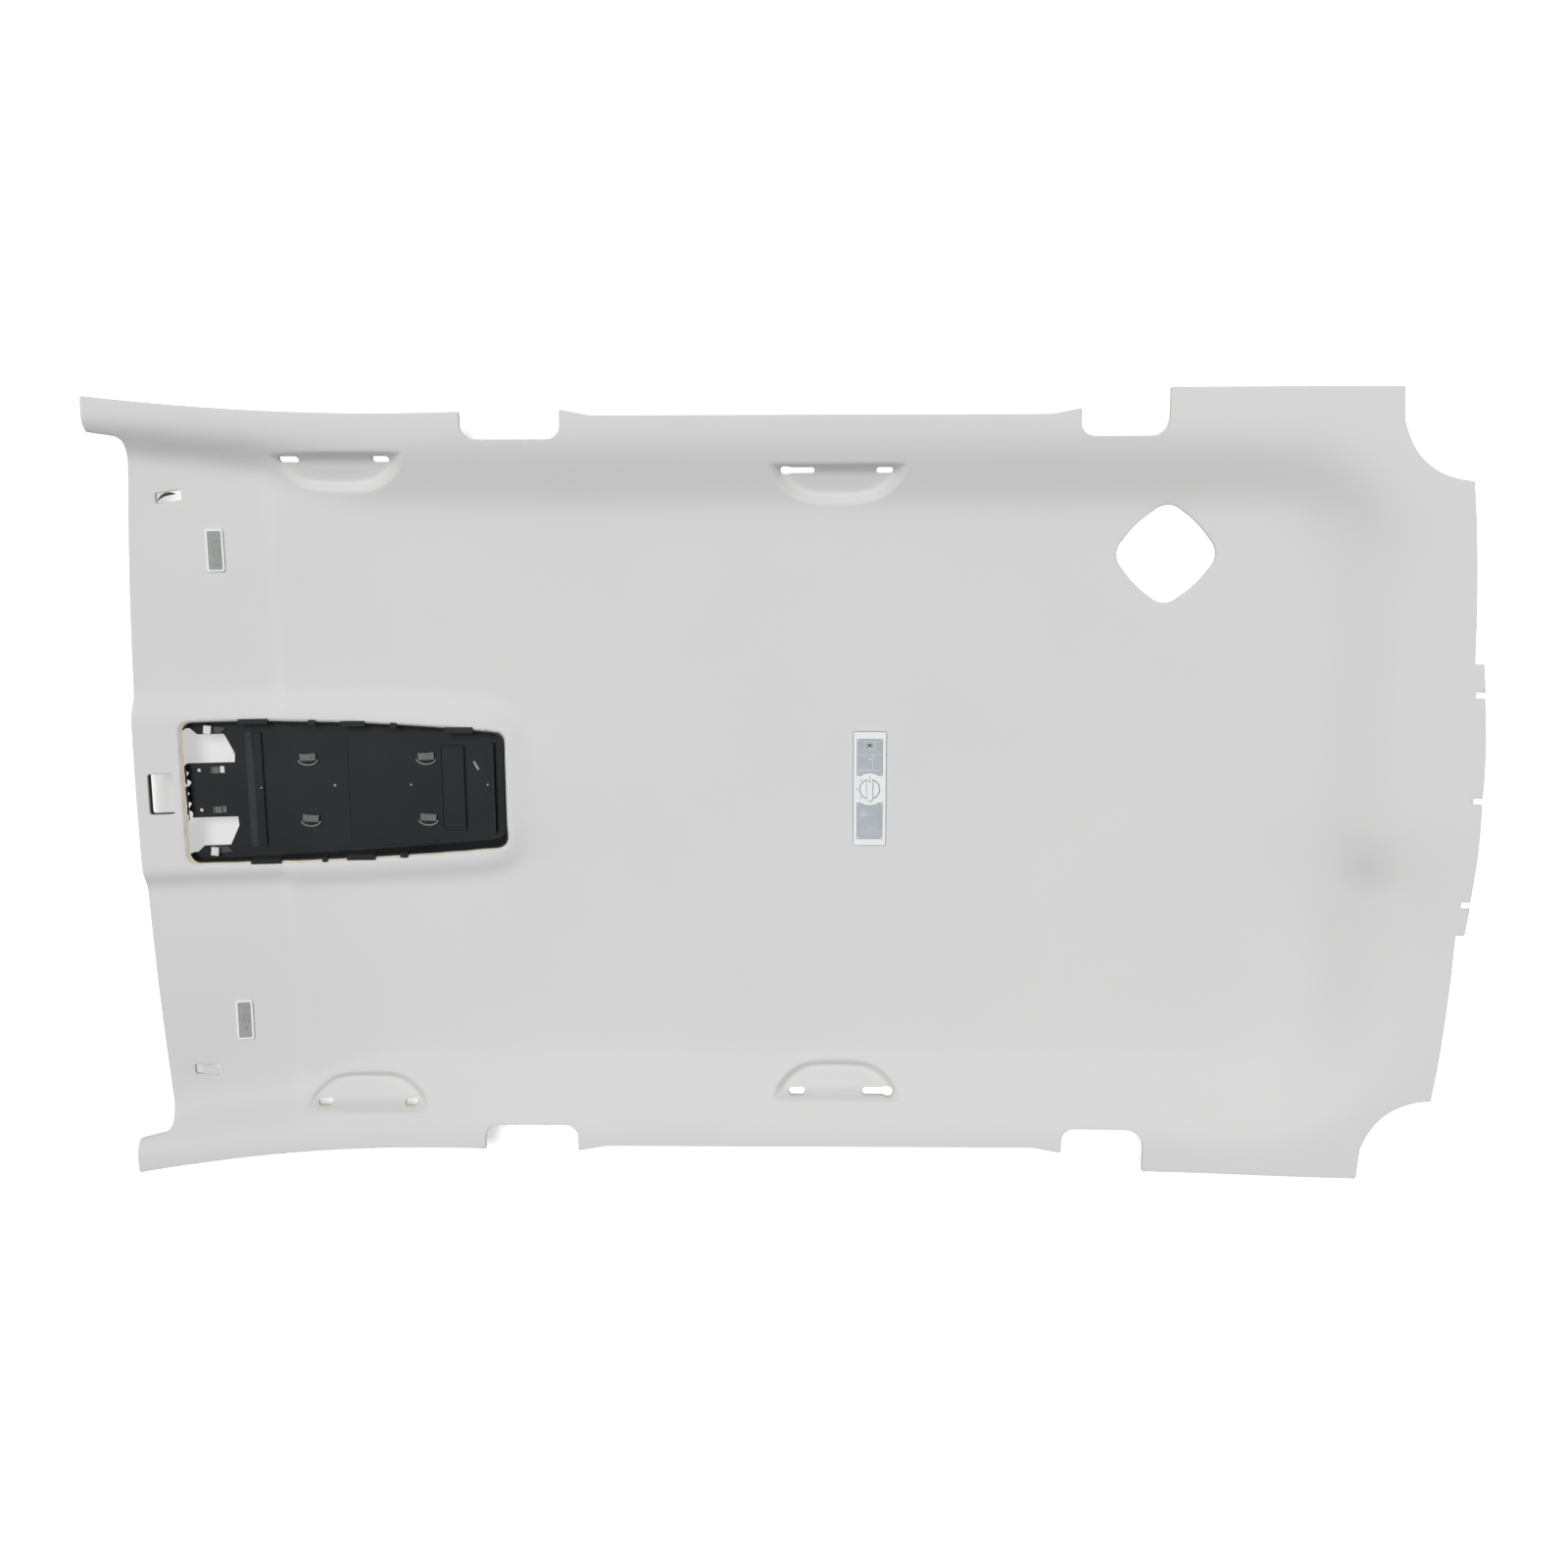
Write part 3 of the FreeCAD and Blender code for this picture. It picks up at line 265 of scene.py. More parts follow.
breaks_x = [
    (front_end - reach, 3),
    (visor_blend_x, 3),
    (visor_step_x - visor_step_w / 2, 4),
    (visor_step_x + 1.5 * visor_step_w, 4),
    (console_rear_x - pod_rear_run, 5),
    (console_rear_x + pod_margin + pod_slope_w, 4),
    (rear_lift_x, 3),
    (slope_rear_x - slope_corner_r, 6),
    (slope_rear_x + slope_w, 2),
    (half_length + reach, 1),
]
breaks_y = [
    (0.0, 2),
    (console_rear_half + pod_margin, 5),
    (console_front_half + pod_margin + pod_slope_w, 3),
    (slope_side_y, 7),
    (slope_side_y + slope_w, 3),
    (rear_flange_y + reach, 1),
]


def spline_knots(lines):
    return np.concatenate([[lines[0]] * 3, lines, [lines[-1]] * 3])


def spline_basis(lines, at):
    """Cubic B-spline basis values by the Cox and de Boor recursion, one row for each place."""
    knots = spline_knots(lines)
    at = np.clip(at, lines[0], lines[-1] - 1e-6)[:, None]
    basis = ((at >= knots[:-1]) & (at < knots[1:])).astype(float)
    for degree in (1, 2, 3):
        low = knots[:-degree - 1]
        high = knots[degree + 1:]
        run_up = knots[degree:-1] - low
        run_down = high - knots[1:-degree]
        up = np.divide(at - low, run_up, out=np.zeros((len(at), len(low))), where=run_up > 0)
        down = np.divide(high - at, run_down, out=np.zeros((len(at), len(low))), where=run_down > 0)
        basis = up * basis[:, :-1] + down * basis[:, 1:]
    return basis


lines_x = np.array(grid_lines(breaks_x))
half_lines_y = grid_lines(breaks_y)
lines_y = np.array([-y for y in reversed(half_lines_y[1:])] + half_lines_y)
full_x = spline_knots(lines_x)
full_y = spline_knots(lines_y)
poles_x = (full_x[1:-3] + full_x[2:-2] + full_x[3:-1]) / 3.0
poles_y = (full_y[1:-3] + full_y[2:-2] + full_y[3:-1]) / 3.0
poles_z = cabin_height(*np.meshgrid(poles_x, poles_y, indexing="ij"))


def cabin_z(x, y):
    """Height of the smoothed cabin face at arrays of places."""
    x = np.atleast_1d(np.asarray(x, float))
    y = np.atleast_1d(np.asarray(y, float))
    return ((spline_basis(lines_x, x) @ poles_z) * spline_basis(lines_y, y)).sum(axis=1)


print("cabin face:", len(lines_x), "by", len(lines_y), "grid lines")
print("field height:", round(float(cabin_z(0, 0)[0]), 1))


# %% [markdown]
# ## Outlines
# Closed loops of plan points. A corner has its place, its radius and the bow of the side after it.


# %% Loops
def corner_loop(corners, step):
    """Plan loop through rounded corners (x, y, radius, bow), with points about one step apart."""
    count = len(corners)
    ends = []
    for i, (x, y, radius, _) in enumerate(corners):
        here = np.array([x, y])
        back = np.array(corners[i - 1][:2]) - here
        ahead = np.array(corners[(i + 1) % count][:2]) - here
        back_l = np.hypot(*back)
        ahead_l = np.hypot(*ahead)
        cosine = np.clip(back @ ahead / (back_l * ahead_l), -1.0, 1.0)
        turn = math.acos(cosine)
        if radius <= 0.0 or turn > math.pi - 0.02:
            ends.append((here, None, here, 0.0))
            continue
        run = min(radius / math.tan(turn / 2), 0.49 * back_l, 0.49 * ahead_l)
        r = run * math.tan(turn / 2)
        middle = back / back_l + ahead / ahead_l
        centre = here + middle / np.hypot(*middle) * (r / math.sin(turn / 2))
        ends.append((here + back / back_l * run, centre, here + ahead / ahead_l * run, r))
    points = []
    for i, corner in enumerate(corners):
        start, centre, end, r = ends[i]
        points.append(start)
        if centre is not None:
            a0 = math.atan2(*(start - centre)[::-1])
            a1 = math.atan2(*(end - centre)[::-1])
            sweep = (a1 - a0 + math.pi) % (2 * math.pi) - math.pi
            n = max(2, int(abs(sweep) / 0.3), int(abs(sweep) * r / step))
            for k in range(1, n):
                a = a0 + sweep * k / n
                points.append(centre + r * np.array([math.cos(a), math.sin(a)]))
            points.append(end)
        following = ends[(i + 1) % count][0]
        side = following - end
        length = np.hypot(*side)
        n = max(1, int(round(length / step)))
        lift = np.array([-side[1], side[0]]) / max(length, 1e-9) * corner[3]
        for k in range(1, n):
            t = k / n
            points.append(end + side * t + lift * 4.0 * t * (1.0 - t))
    loop = [points[0]]
    for p in points[1:]:
        if np.hypot(*(p - loop[-1])) > 0.05:
            loop.append(p)
    if np.hypot(*(loop[-1] - loop[0])) < 0.05:
        loop.pop()
    return np.array(loop)


def box_loop(cx, cy, size_x, size_y, radius, step):
    hx = size_x / 2
    hy = size_y / 2
    return corner_loop([(cx - hx, cy - hy, radius, 0), (cx + hx, cy - hy, radius, 0),
                        (cx + hx, cy + hy, radius, 0), (cx - hx, cy + hy, radius, 0)], step)


def outline_loop(step):
    """The trimmed edge of the lining."""
    fp0, fp1 = front_pillar_x
    rp0, rp1 = rear_pillar_x
    slot = tab_slot_w / 2
    slot_x = tab_side_x + (half_length - tab_side_x) * (1.0 - (tab_slot_y / tab_half_w) ** 2)
    left = [
        (*front_corner, 12.0, 0), (front_end, horn_y[0], edge_r, 0),
        (front_end, horn_y[1], edge_r, -side_bow),
        (fp0, side_y, edge_r, 0), (fp0, front_pillar_y, front_pillar_r, 0),
        (fp1, front_pillar_y, front_pillar_r, 0), (fp1, ear_y, 2.0, 0), (fp1 + ear_run, waist_y, 60.0, 0),
        (rp0 - ear_run, waist_y, 60.0, 0), (rp0, ear_y, 2.0, 0), (rp0, rear_pillar_y, rear_pillar_r, 0),
        (rp1, rear_pillar_y, rear_pillar_r, 0), (rp1, rear_flange_y, edge_r, 0),
        (corner_cut[0], rear_flange_y, edge_r, 0), (corner_cut[0] + 2.0, corner_cut[1], 0, -corner_cut_bow),
        (*rear_corner, edge_r, rear_edge_bow), (rear_edge_x, tab_half_w, 1.0, 0),
        (tab_side_x, tab_half_w, edge_r, 0), (slot_x, tab_slot_y + slot, 0, 0),
        (slot_x - tab_slot_depth, tab_slot_y + slot, 0, 0),
        (slot_x - tab_slot_depth, tab_slot_y - slot, 0, 0),
        (slot_x, tab_slot_y - slot, 0, 3.0), (half_length, slot, 0, 0),
        (half_length - tab_slot_depth, slot, 0, 0),
    ]
    right = []
    for i in range(len(left) - 1, -1, -1):
        x, y, radius, _ = left[i]
        right.append((x, -y, radius, left[i - 1][3] if i > 0 else 0))
    x, y, radius, _ = right[-1]
    right[-1] = (x, y, radius, front_corner[0] - front_x)
    return corner_loop(left + right, step)


def console_loop(grow, step):
    x0 = console_front_x - grow
    x1 = console_rear_x + grow
    y0 = console_front_half + grow
    y1 = console_rear_half + grow
    r = max(console_corner_r + grow, 2.0)
    bow = console_side_bow
    return corner_loop([(x0, -y0, r, -bow), (x1, -y1, r, 0), (x1, y1, r, -bow), (x0, y0, r, 0)], step)


def belt_loop(step):
    corners = []
    for k in range(4):
        a = math.radians(90.0 * k)
        corners.append((belt_place[0] + belt_half * 1.17 * math.cos(a),
                        belt_place[1] + belt_half * 1.17 * math.sin(a), belt_corner_r, -belt_bow))
    return corner_loop(corners, step)


def visor_hole_loop(side, step):
    hx = visor_hole[0] / 2
    hy = visor_hole[1] / 2
    x = visor_hole_place[0]
    y = side * visor_hole_place[1]
    slant = side * visor_hole_slant
    return corner_loop([(x - hx, y - hy - slant, 3.0, 0), (x + hx, y - hy, 3.0, 0),
                        (x + hx, y + hy, 3.0, 0), (x - hx, y + hy - slant, 3.0, 0)], step)


def handle_hole_loop(cx, cy, length, wide_end, step):
    """A slot with round ends. With a wide end of -1 or 1, the slot is a keyhole."""
    h = handle_hole_w / 2
    x0 = cx - length / 2
    x1 = cx + length / 2
    if not wide_end:
        return box_loop(cx, cy, length, handle_hole_w, h * 0.95, step)
    r = handle_wide_r
    neck = (x0 if wide_end < 0 else x1) - wide_end * 2.0 * r
    far = x1 if wide_end < 0 else x0
    wide = x0 if wide_end < 0 else x1
    corners = [(wide, cy - r, r * 0.9, 0), (neck, cy - r, 2.0, 0), (neck - wide_end * 4.0, cy - h, 3.0, 0),
               (far, cy - h, h * 0.9, 0), (far, cy + h, h * 0.9, 0), (neck - wide_end * 4.0, cy + h, 3.0, 0),
               (neck, cy + r, 2.0, 0), (wide, cy + r, r * 0.9, 0)]
    return corner_loop(corners, step)


# %% [markdown]
# ## Handle pockets
# Each pocket is a tapered form between a tilted floor outline and a larger tilted mouth outline.
# Inside the mouth the surface follows the floor, then the wall, with soft joints between them.


# %% Pocket surface
def closed_spline(poles, per_pole=6):
    """Points on a closed uniform cubic B-spline."""
    p = np.asarray(poles, float)
    t = np.arange(per_pole) / per_pole
    before = (1 - t) ** 3
    here = 3 * t ** 3 - 6 * t ** 2 + 4
    after = -3 * t ** 3 + 3 * t ** 2 + 3 * t + 1
    weights = np.stack([before, here, after, t ** 3]) / 6
    four = [np.roll(p, shift, axis=0) for shift in (1, 0, -1, -2)]
    return np.concatenate([weights.T @ np.stack([q[i] for q in four]) for i in range(len(p))])


def pocket_outline(half_outline, grow):
    first_y = half_outline[0][1]
    last_y = half_outline[-1][1]
    right = []
    for half, v in half_outline:
        outer = v > first_y + 0.9 * (last_y - first_y)
        right.append((half + grow, v + grow if outer else v - grow))
    return closed_spline(right + [(-u, v) for u, v in reversed(right)])


def inside_loop(points, loop):
    """Even-odd test of many points against one loop."""
    result = np.zeros(len(points), bool)
    x = points[:, 0]
    y = points[:, 1]
    for (x0, y0), (x1, y1) in zip(loop, np.roll(loop, -1, axis=0)):
        if y0 == y1:
            continue
        crosses = ((y0 > y) != (y1 > y)) & (x < (x1 - x0) * (y - y0) / (y1 - y0) + x0)
        result ^= crosses
    return result


def loop_distance(points, loop):
    """Distance from each point to the nearest side of a loop."""
    best = np.full(len(points), 1e9)
    for a, b in zip(loop, np.roll(loop, -1, axis=0)):
        d = b - a
        t = np.clip(((points - a) @ d) / max(d @ d, 1e-9), 0.0, 1.0)
        gap = points - a - t[:, None] * d
        best = np.minimum(best, np.hypot(gap[:, 0], gap[:, 1]))
    return best


def soft_min(a, b, k):
    h = np.clip(0.5 + 0.5 * (b - a) / k, 0.0, 1.0)
    return b * (1.0 - h) + a * h - k * h * (1.0 - h)


def plane_at(v, outline, heights):
    rate = (heights[1] - heights[0]) / (outline[-1][1] - outline[0][1])
    return heights[0] + rate * (v - outline[0][1])


pockets = []
for end, (px, py) in pocket_places.items():
    for hand, side in (("left", 1), ("right", -1)):
        pockets.append((end + "_" + hand, px, py, side))


def with_pockets(x, y, z, grow, drop, blend):
    """Cabin heights with the four pockets pressed in. grow and drop give the roof side's form."""
    z = z.copy()
    for _, px, py, side in pockets:
        u = x - px
        v = side * y - py
        near = np.flatnonzero((np.abs(u) < 130.0) & (v > -62.0) & (v < 58.0))
        if not len(near):
            continue
        local = np.stack([u[near], v[near]], axis=1)
        floor = pocket_outline(pocket_floor, grow)
        mouth = pocket_outline(pocket_mouth, grow)
        from_floor = loop_distance(local, floor) * np.where(inside_loop(local, floor), -1.0, 1.0)
        to_mouth = loop_distance(local, mouth) * np.where(inside_loop(local, mouth), 1.0, -1.0)
        t = from_floor / np.maximum(np.abs(from_floor) + np.maximum(to_mouth, 0.0), 1e-6)
        t = np.where(to_mouth < 0.0, 1.0 - to_mouth / 12.0, t)
        base = cabin_z([px], [py])[0]
        v_floor = np.clip(local[:, 1], pocket_floor[0][1] - grow, pocket_floor[-1][1] + grow)
        bottom = base + plane_at(v_floor, pocket_floor, pocket_floor_z) - drop
        top = base + plane_at(local[:, 1], pocket_mouth, pocket_mouth_z)
        wall = bottom + t * (top - bottom)
        dish = -soft_min(-bottom, -wall, 5.0)
        z[near] = soft_min(z[near], dish, blend)
    return z


# %% [markdown]
# ## The lining
# A constrained triangulation of scattered plan points, close together at the pockets, the rims
# and the steps, is lifted to the cabin face. The roof side is a second, coarser layer.

# %% Plan loops of the lining
STEP = 7.0
trim_loops = {"outline": outline_loop(STEP), "console": console_loop(0.0, 5.0), "belt": belt_loop(4.0)}
trim_loops["sensor"] = box_loop(sensor_x, 0.0, *sensor_size, 4.0, 4.0)
trim_loops["dome"] = box_loop(dome_x, 0.0, *dome_cut, 2.0, 6.0)
for hand, side in (("left", 1), ("right", -1)):
    trim_loops["visor_" + hand] = visor_hole_loop(side, 2.5)
    trim_loops["vanity_" + hand] = box_loop(vanity_place[0], side * vanity_place[1], *vanity_cut, 2.0, 4.0)
for name, px, py, side in pockets:
    for number, (along, length, wide_end) in enumerate(handle_holes[name]):
        cy = side * (py + handle_hole_v)
        trim_loops[f"handle_{name}_{number}"] = handle_hole_loop(px + along, cy, length, wide_end, 2.0)
print("trim loops:", len(trim_loops), "with", sum(len(v) for v in trim_loops.values()), "points")


# %% [markdown]
# ## Plan points
# Staggered lattices fill the plan, and rings of points follow the loops.

# %% Plan points
def lattice(x0, x1, y0, y1, step_x, step_y=None):
    step_y = step_y or step_x
    xs = np.arange(x0, x1 + 1e-6, step_x)
    ys = np.arange(y0, y1 + 1e-6, step_y)
    gx, gy = np.meshgrid(xs, ys, indexing="ij")
    gy = gy + np.where(np.arange(len(xs))[:, None] % 2 == 0, 0.0, step_y / 2)
    return np.stack([gx.ravel(), gy.ravel()], axis=1)


def ring_points(loop, offsets):
    """Points on copies of a loop moved outwards by each offset."""
    rolled = np.roll(loop, -1, axis=0)
    tangent = rolled - np.roll(loop, 1, axis=0)
    length = np.hypot(tangent[:, 0], tangent[:, 1])[:, None]
    normal = np.stack([tangent[:, 1], -tangent[:, 0]], axis=1) / np.maximum(length, 1e-9)
    area = 0.5 * np.sum(loop[:, 0] * rolled[:, 1] - rolled[:, 0] * loop[:, 1])
    away = normal * np.sign(area)
    return np.concatenate([loop + away * d for d in offsets])


def in_zone(points, x0, x1, y0, y1):
    return (points[:, 0] > x0) & (points[:, 0] < x1) & (points[:, 1] > y0) & (points[:, 1] < y1)


def without_zone(points, zones):
    keep = np.ones(len(points), bool)
    for zone in zones:
        keep &= ~in_zone(points, *zone)
    return points[keep]


def pocket_zones(margin):
    zones = []
    for _, px, py, side in pockets:
        y0, y1 = sorted((side * (py - 46.0 - margin), side * (py + 40.0 + margin)))
        zones.append((px - 116.0 - margin, px + 116.0 + margin, y0, y1))
    return zones


pod_zone = (front_end, console_rear_x + 90.0, -console_front_half - 75.0, console_front_half + 75.0)
step_zone = (visor_step_x - 14.0, visor_step_x + 26.0, -560.0, 560.0)
dent_centre = (921.0, -119.0)
dent_size = (60.0, 52.0)
dent_depth = 4.2
dent_zone = (dent_centre[0] - 70.0, dent_centre[0] + 70.0, dent_centre[1] - 60.0, dent_centre[1] + 60.0)


def plan_points(coarse, fine, with_rims):
    """Scattered points: coarse on the field, finer on the slopes and finest in the zones."""
    zones = pocket_zones(0.0)
    everywhere = lattice(-half_length, half_length, -650.0, 650.0, coarse)
    clouds = [without_zone(everywhere, zones + [pod_zone, step_zone, dent_zone])]
    clouds.append(without_zone(lattice(*pod_zone, fine * 2.0), zones + [step_zone]))
    clouds.append(without_zone(lattice(*step_zone, fine * 1.4, fine * 5.0), zones))
    clouds.append(lattice(*dent_zone, fine * 2.4))
    for zone in zones:
        clouds.append(lattice(*zone, fine))
    if with_rims:
        clouds.append(ring_points(trim_loops["console"], (5.0, 6.5, 8.5, 11.0, 14.0, 18.0)))
        clouds.append(ring_points(trim_loops["outline"], (-0.9, -2.2, -4.5)))
        for name, loop in trim_loops.items():
            if name not in ("console", "outline"):
                clouds.append(ring_points(loop, (0.9, 2.4)))
    return np.concatenate(clouds)


def loop_tree(loops):
    """Search tree of places about a millimetre apart along some loops."""
    places = []
    for loop in loops:
        for a, b in zip(loop, np.roll(loop, -1, axis=0)):
            n = max(1, int(np.hypot(*(b - a))))
            places += [a + (b - a) * k / n for k in range(n)]
    tree = KDTree(len(places))
    for i, p in enumerate(places):
        tree.insert((p[0], p[1], 0.0), i)
    tree.balance()
    return tree


def tree_distance(tree, points):
    return np.array([tree.find((p[0], p[1], 0.0))[2] for p in points])


def triangulate(loops, points, clearance):
    """Triangles inside the first loop and outside the others: plan places, faces, loop indices."""
    tree = loop_tree(loops)
    keep = inside_loop(points, loops[0])
    for loop in loops[1:]:
        x0, y0 = loop.min(axis=0) - 1.0
        x1, y1 = loop.max(axis=0) + 1.0
        near = np.flatnonzero(keep & in_zone(points, x0, x1, y0, y1))
        keep[near] = ~inside_loop(points[near], loop)
    points = points[keep]
    points = points[tree_distance(tree, points) > clearance]
    coords = np.concatenate(loops + [points])
    edges = []
    start = 0
    for loop in loops:
        n = len(loop)
        edges += [(start + k, start + (k + 1) % n) for k in range(n)]
        start += n
    out = delaunay_2d_cdt([Vector(c) for c in coords], edges, [], 0, 1e-5)
    places = np.array([tuple(v) for v in out[0]])
    faces = np.array([f for f in out[2] if len(f) == 3])
    centre = places[faces].mean(axis=1)
    good = inside_loop(centre, loops[0])
    for loop in loops[1:]:
        x0, y0 = loop.min(axis=0)
        x1, y1 = loop.max(axis=0)
        near = np.flatnonzero(good & in_zone(centre, x0, x1, y0, y1))
        good[near] = ~inside_loop(centre[near], loop)
    faces = faces[good]
    new_index = {}
    for i, sources in enumerate(out[3]):
        for s in sources:
            new_index[s] = i
    rings = []
    start = 0
    for loop in loops:
        rings.append(np.array([new_index[start + k] for k in range(len(loop))]))
        start += len(loop)
    a, b, c = (places[faces[:, k]] for k in range(3))
    turn = (b[:, 0] - a[:, 0]) * (c[:, 1] - a[:, 1]) - (b[:, 1] - a[:, 1]) * (c[:, 0] - a[:, 0])
    faces[turn < 0] = faces[turn < 0][:, ::-1]
    return places, faces, rings


# %% [markdown]
# ## Small forms
# Rounded edges, folds and other forms that are too small for the grid.

# %% Small forms on the cabin face
edge_round = 1.8
rim_round = 6.0
cut_back = 2.4


def rounded_fall(distance, radius):
    """How far a rounded edge falls at a distance from it: a quarter circle."""
    t = np.clip((radius - distance) / radius, 0.0, 1.0)
    return radius * (1.0 - np.sqrt(1.0 - t * t))


def fold_line(points, a, b, width):
    """1 on a straight line from a to b, fading out over a width."""
    a = np.array(a)
    d = np.array(b) - a
    t = np.clip(((points - a) @ d) / (d @ d), 0.0, 1.0)
    gap = points - a - t[:, None] * d
    return np.exp(-(gap[:, 0] ** 2 + gap[:, 1] ** 2) / (2.0 * width * width))


def handled_marks(points):
    """Small dents, folds and waves that pressing and handling leave in the face."""
    x = points[:, 0]
    y = points[:, 1]
    across = ((x - dent_centre[0]) / dent_size[0]) ** 4
    along = ((y - dent_centre[1]) / dent_size[1]) ** 4
    dent = dent_depth * np.exp(-across - along)
    waves = 0.16 * np.sin(x / 71.0 + 1.3 * np.sin(y / 97.0)) * np.cos(y / 83.0 + 0.9 * np.sin(x / 119.0))
    press = 0.35 * fold_line(points, (-1011.0, 215.0), (-998.0, 184.0), 4.0)
    fold = 0.5 * fold_line(points, (799.0, 496.0), (860.0, 452.0), 9.0)
    fold = fold + 0.5 * fold_line(points, (860.0, 452.0), (906.0, 392.0), 9.0)
    fold = fold + 0.4 * fold_line(points, (906.0, 392.0), (951.0, 304.0), 9.0)
    return waves - dent - press - fold


# %% [markdown]
# ## Lining
# The faces and the cut edges between them become one mesh.

# %% Building the lining
def cut_back_loop(loop):
    """The cloth ends short of the console opening at its front and right sides."""
    toward_front = np.clip((console_front_x + 22.0 - loop[:, 0]) / 22.0, 0.0, 1.0)
    toward_right = np.clip((-loop[:, 1] - 60.0) / 30.0, 0.0, 1.0)
    amount = 0.5 + cut_back * np.maximum(toward_front, toward_right)
    wobble = 1.0 + 0.18 * np.sin(loop[:, 0] / 9.0 + loop[:, 1] / 7.0)
    grown = ring_points(loop, (1.0,))
    return loop + (grown - loop) * (amount * wobble)[:, None]


def top_height(points):
    z = cabin_z(points[:, 0], points[:, 1])
    z = with_pockets(points[:, 0], points[:, 1], z, 0.0, 0.0, 3.5)
    return z + handled_marks(points)


def build_lining():
    names = list(trim_loops)
    roof_loops = [trim_loops[n] for n in names]
    top_loops = [cut_back_loop(trim_loops[n]) if n == "console" else trim_loops[n] for n in names]
    fine = 2.9
    coarse = 11.5
    top_xy, top_faces, top_rings = triangulate(top_loops, plan_points(coarse, fine, True), 0.7)
    low_xy, low_faces, low_rings = triangulate(roof_loops, plan_points(22.0, 7.0, False), 2.0)
    top_z = top_height(top_xy)
    plain = tree_distance(loop_tree([top_loops[i] for i, n in enumerate(names) if n != "console"]), top_xy)
    top_z -= rounded_fall(plain, edge_round)
    rim = tree_distance(loop_tree([top_loops[names.index("console")]]), top_xy)
    top_z -= 0.75 * rounded_fall(rim, rim_round)
    low_z = cabin_z(low_xy[:, 0], low_xy[:, 1]) - board_t
    low_z = with_pockets(low_xy[:, 0], low_xy[:, 1], low_z, board_t * 0.8, board_t, 2.0)
    top = np.column_stack([top_xy, top_z])
    low = np.column_stack([low_xy, low_z])
    for name, ring_t, ring_l in zip(names, top_rings, low_rings):
        limit = top[ring_t, 2] - 1.2
        low[ring_l, 2] = np.minimum(low[ring_l, 2], limit)
    shift = len(top)
    faces = [tuple(f) for f in top_faces] + [tuple(int(v) + shift for v in f[::-1]) for f in low_faces]
    kinds = [0] * len(top_faces) + [2] * len(low_faces)
    for k, (ring_t, ring_l) in enumerate(zip(top_rings, low_rings)):
        loop = top_xy[ring_t]
        rolled = np.roll(loop, -1, axis=0)
        positive = np.sum(loop[:, 0] * rolled[:, 1] - rolled[:, 0] * loop[:, 1]) > 0
        outward = positive if k == 0 else not positive
        for i in range(len(ring_t)):
            j = (i + 1) % len(ring_t)
            quad = (ring_l[i] + shift, ring_l[j] + shift, ring_t[j], ring_t[i])
            faces.append(quad if outward else quad[::-1])
            kinds.append(1)
    return np.concatenate([top, low]), faces, kinds


def new_object(name, points, faces, materials, kinds=None, sharp=None):
    """A mesh object with its place in its mesh, from points in millimetres."""
    mesh = bpy.data.meshes.new(name)
    mesh.from_pydata([], [], [])
    mesh.clear_geometry()
    mesh.from_pydata((np.asarray(points) * MM).tolist(), [], [tuple(int(i) for i in f) for f in faces])
    for material in materials:
        mesh.materials.append(material)
    if kinds is not None:
        mesh.polygons.foreach_set("material_index", np.array(kinds, dtype=np.int32))
    mesh.polygons.foreach_set("use_smooth", np.ones(len(mesh.polygons), bool))
    if sharp is not None:
        mesh.set_sharp_from_angle(angle=math.radians(sharp))
    mesh.update()
    obj = bpy.data.objects.new(name, mesh)
    bpy.context.scene.collection.objects.link(obj)
    return obj


# %% [markdown]
# ## Materials
# Every pattern reads Object coordinates. The groups put out colours and heights only, and the
# constants are set on each shader.


# %% Material helpers
def node_group(name, outputs, inputs=()):
    tree = bpy.data.node_groups.new(name, "ShaderNodeTree")
    for label, kind, value in inputs:
        socket = tree.interface.new_socket(label, in_out="INPUT", socket_type=kind)
        socket.default_value = value
    for label, kind in outputs:
        tree.interface.new_socket(label, in_out="OUTPUT", socket_type=kind)
    return tree


def add(tree, kind, place=(0, 0), **values):
    node = tree.nodes.new(kind)
    node.location = place
    for key, value in values.items():
        if hasattr(node, key) and key not in ("Scale",):
            setattr(node, key, value)
        else:
            node.inputs[key].default_value = value
    return node


def ramp(tree, source, stops, place=(0, 0)):
    node = add(tree, "ShaderNodeValToRGB", place)
    elements = node.color_ramp.elements
    while len(elements) < len(stops):
        elements.new(0.5)
    for element, (position, colour) in zip(elements, stops):
        element.position = position
        element.color = (*colour, 1.0) if len(colour) == 3 else colour
    tree.links.new(source, node.inputs["Fac"])
    return node


def grey(value):
    return (value, value, value)


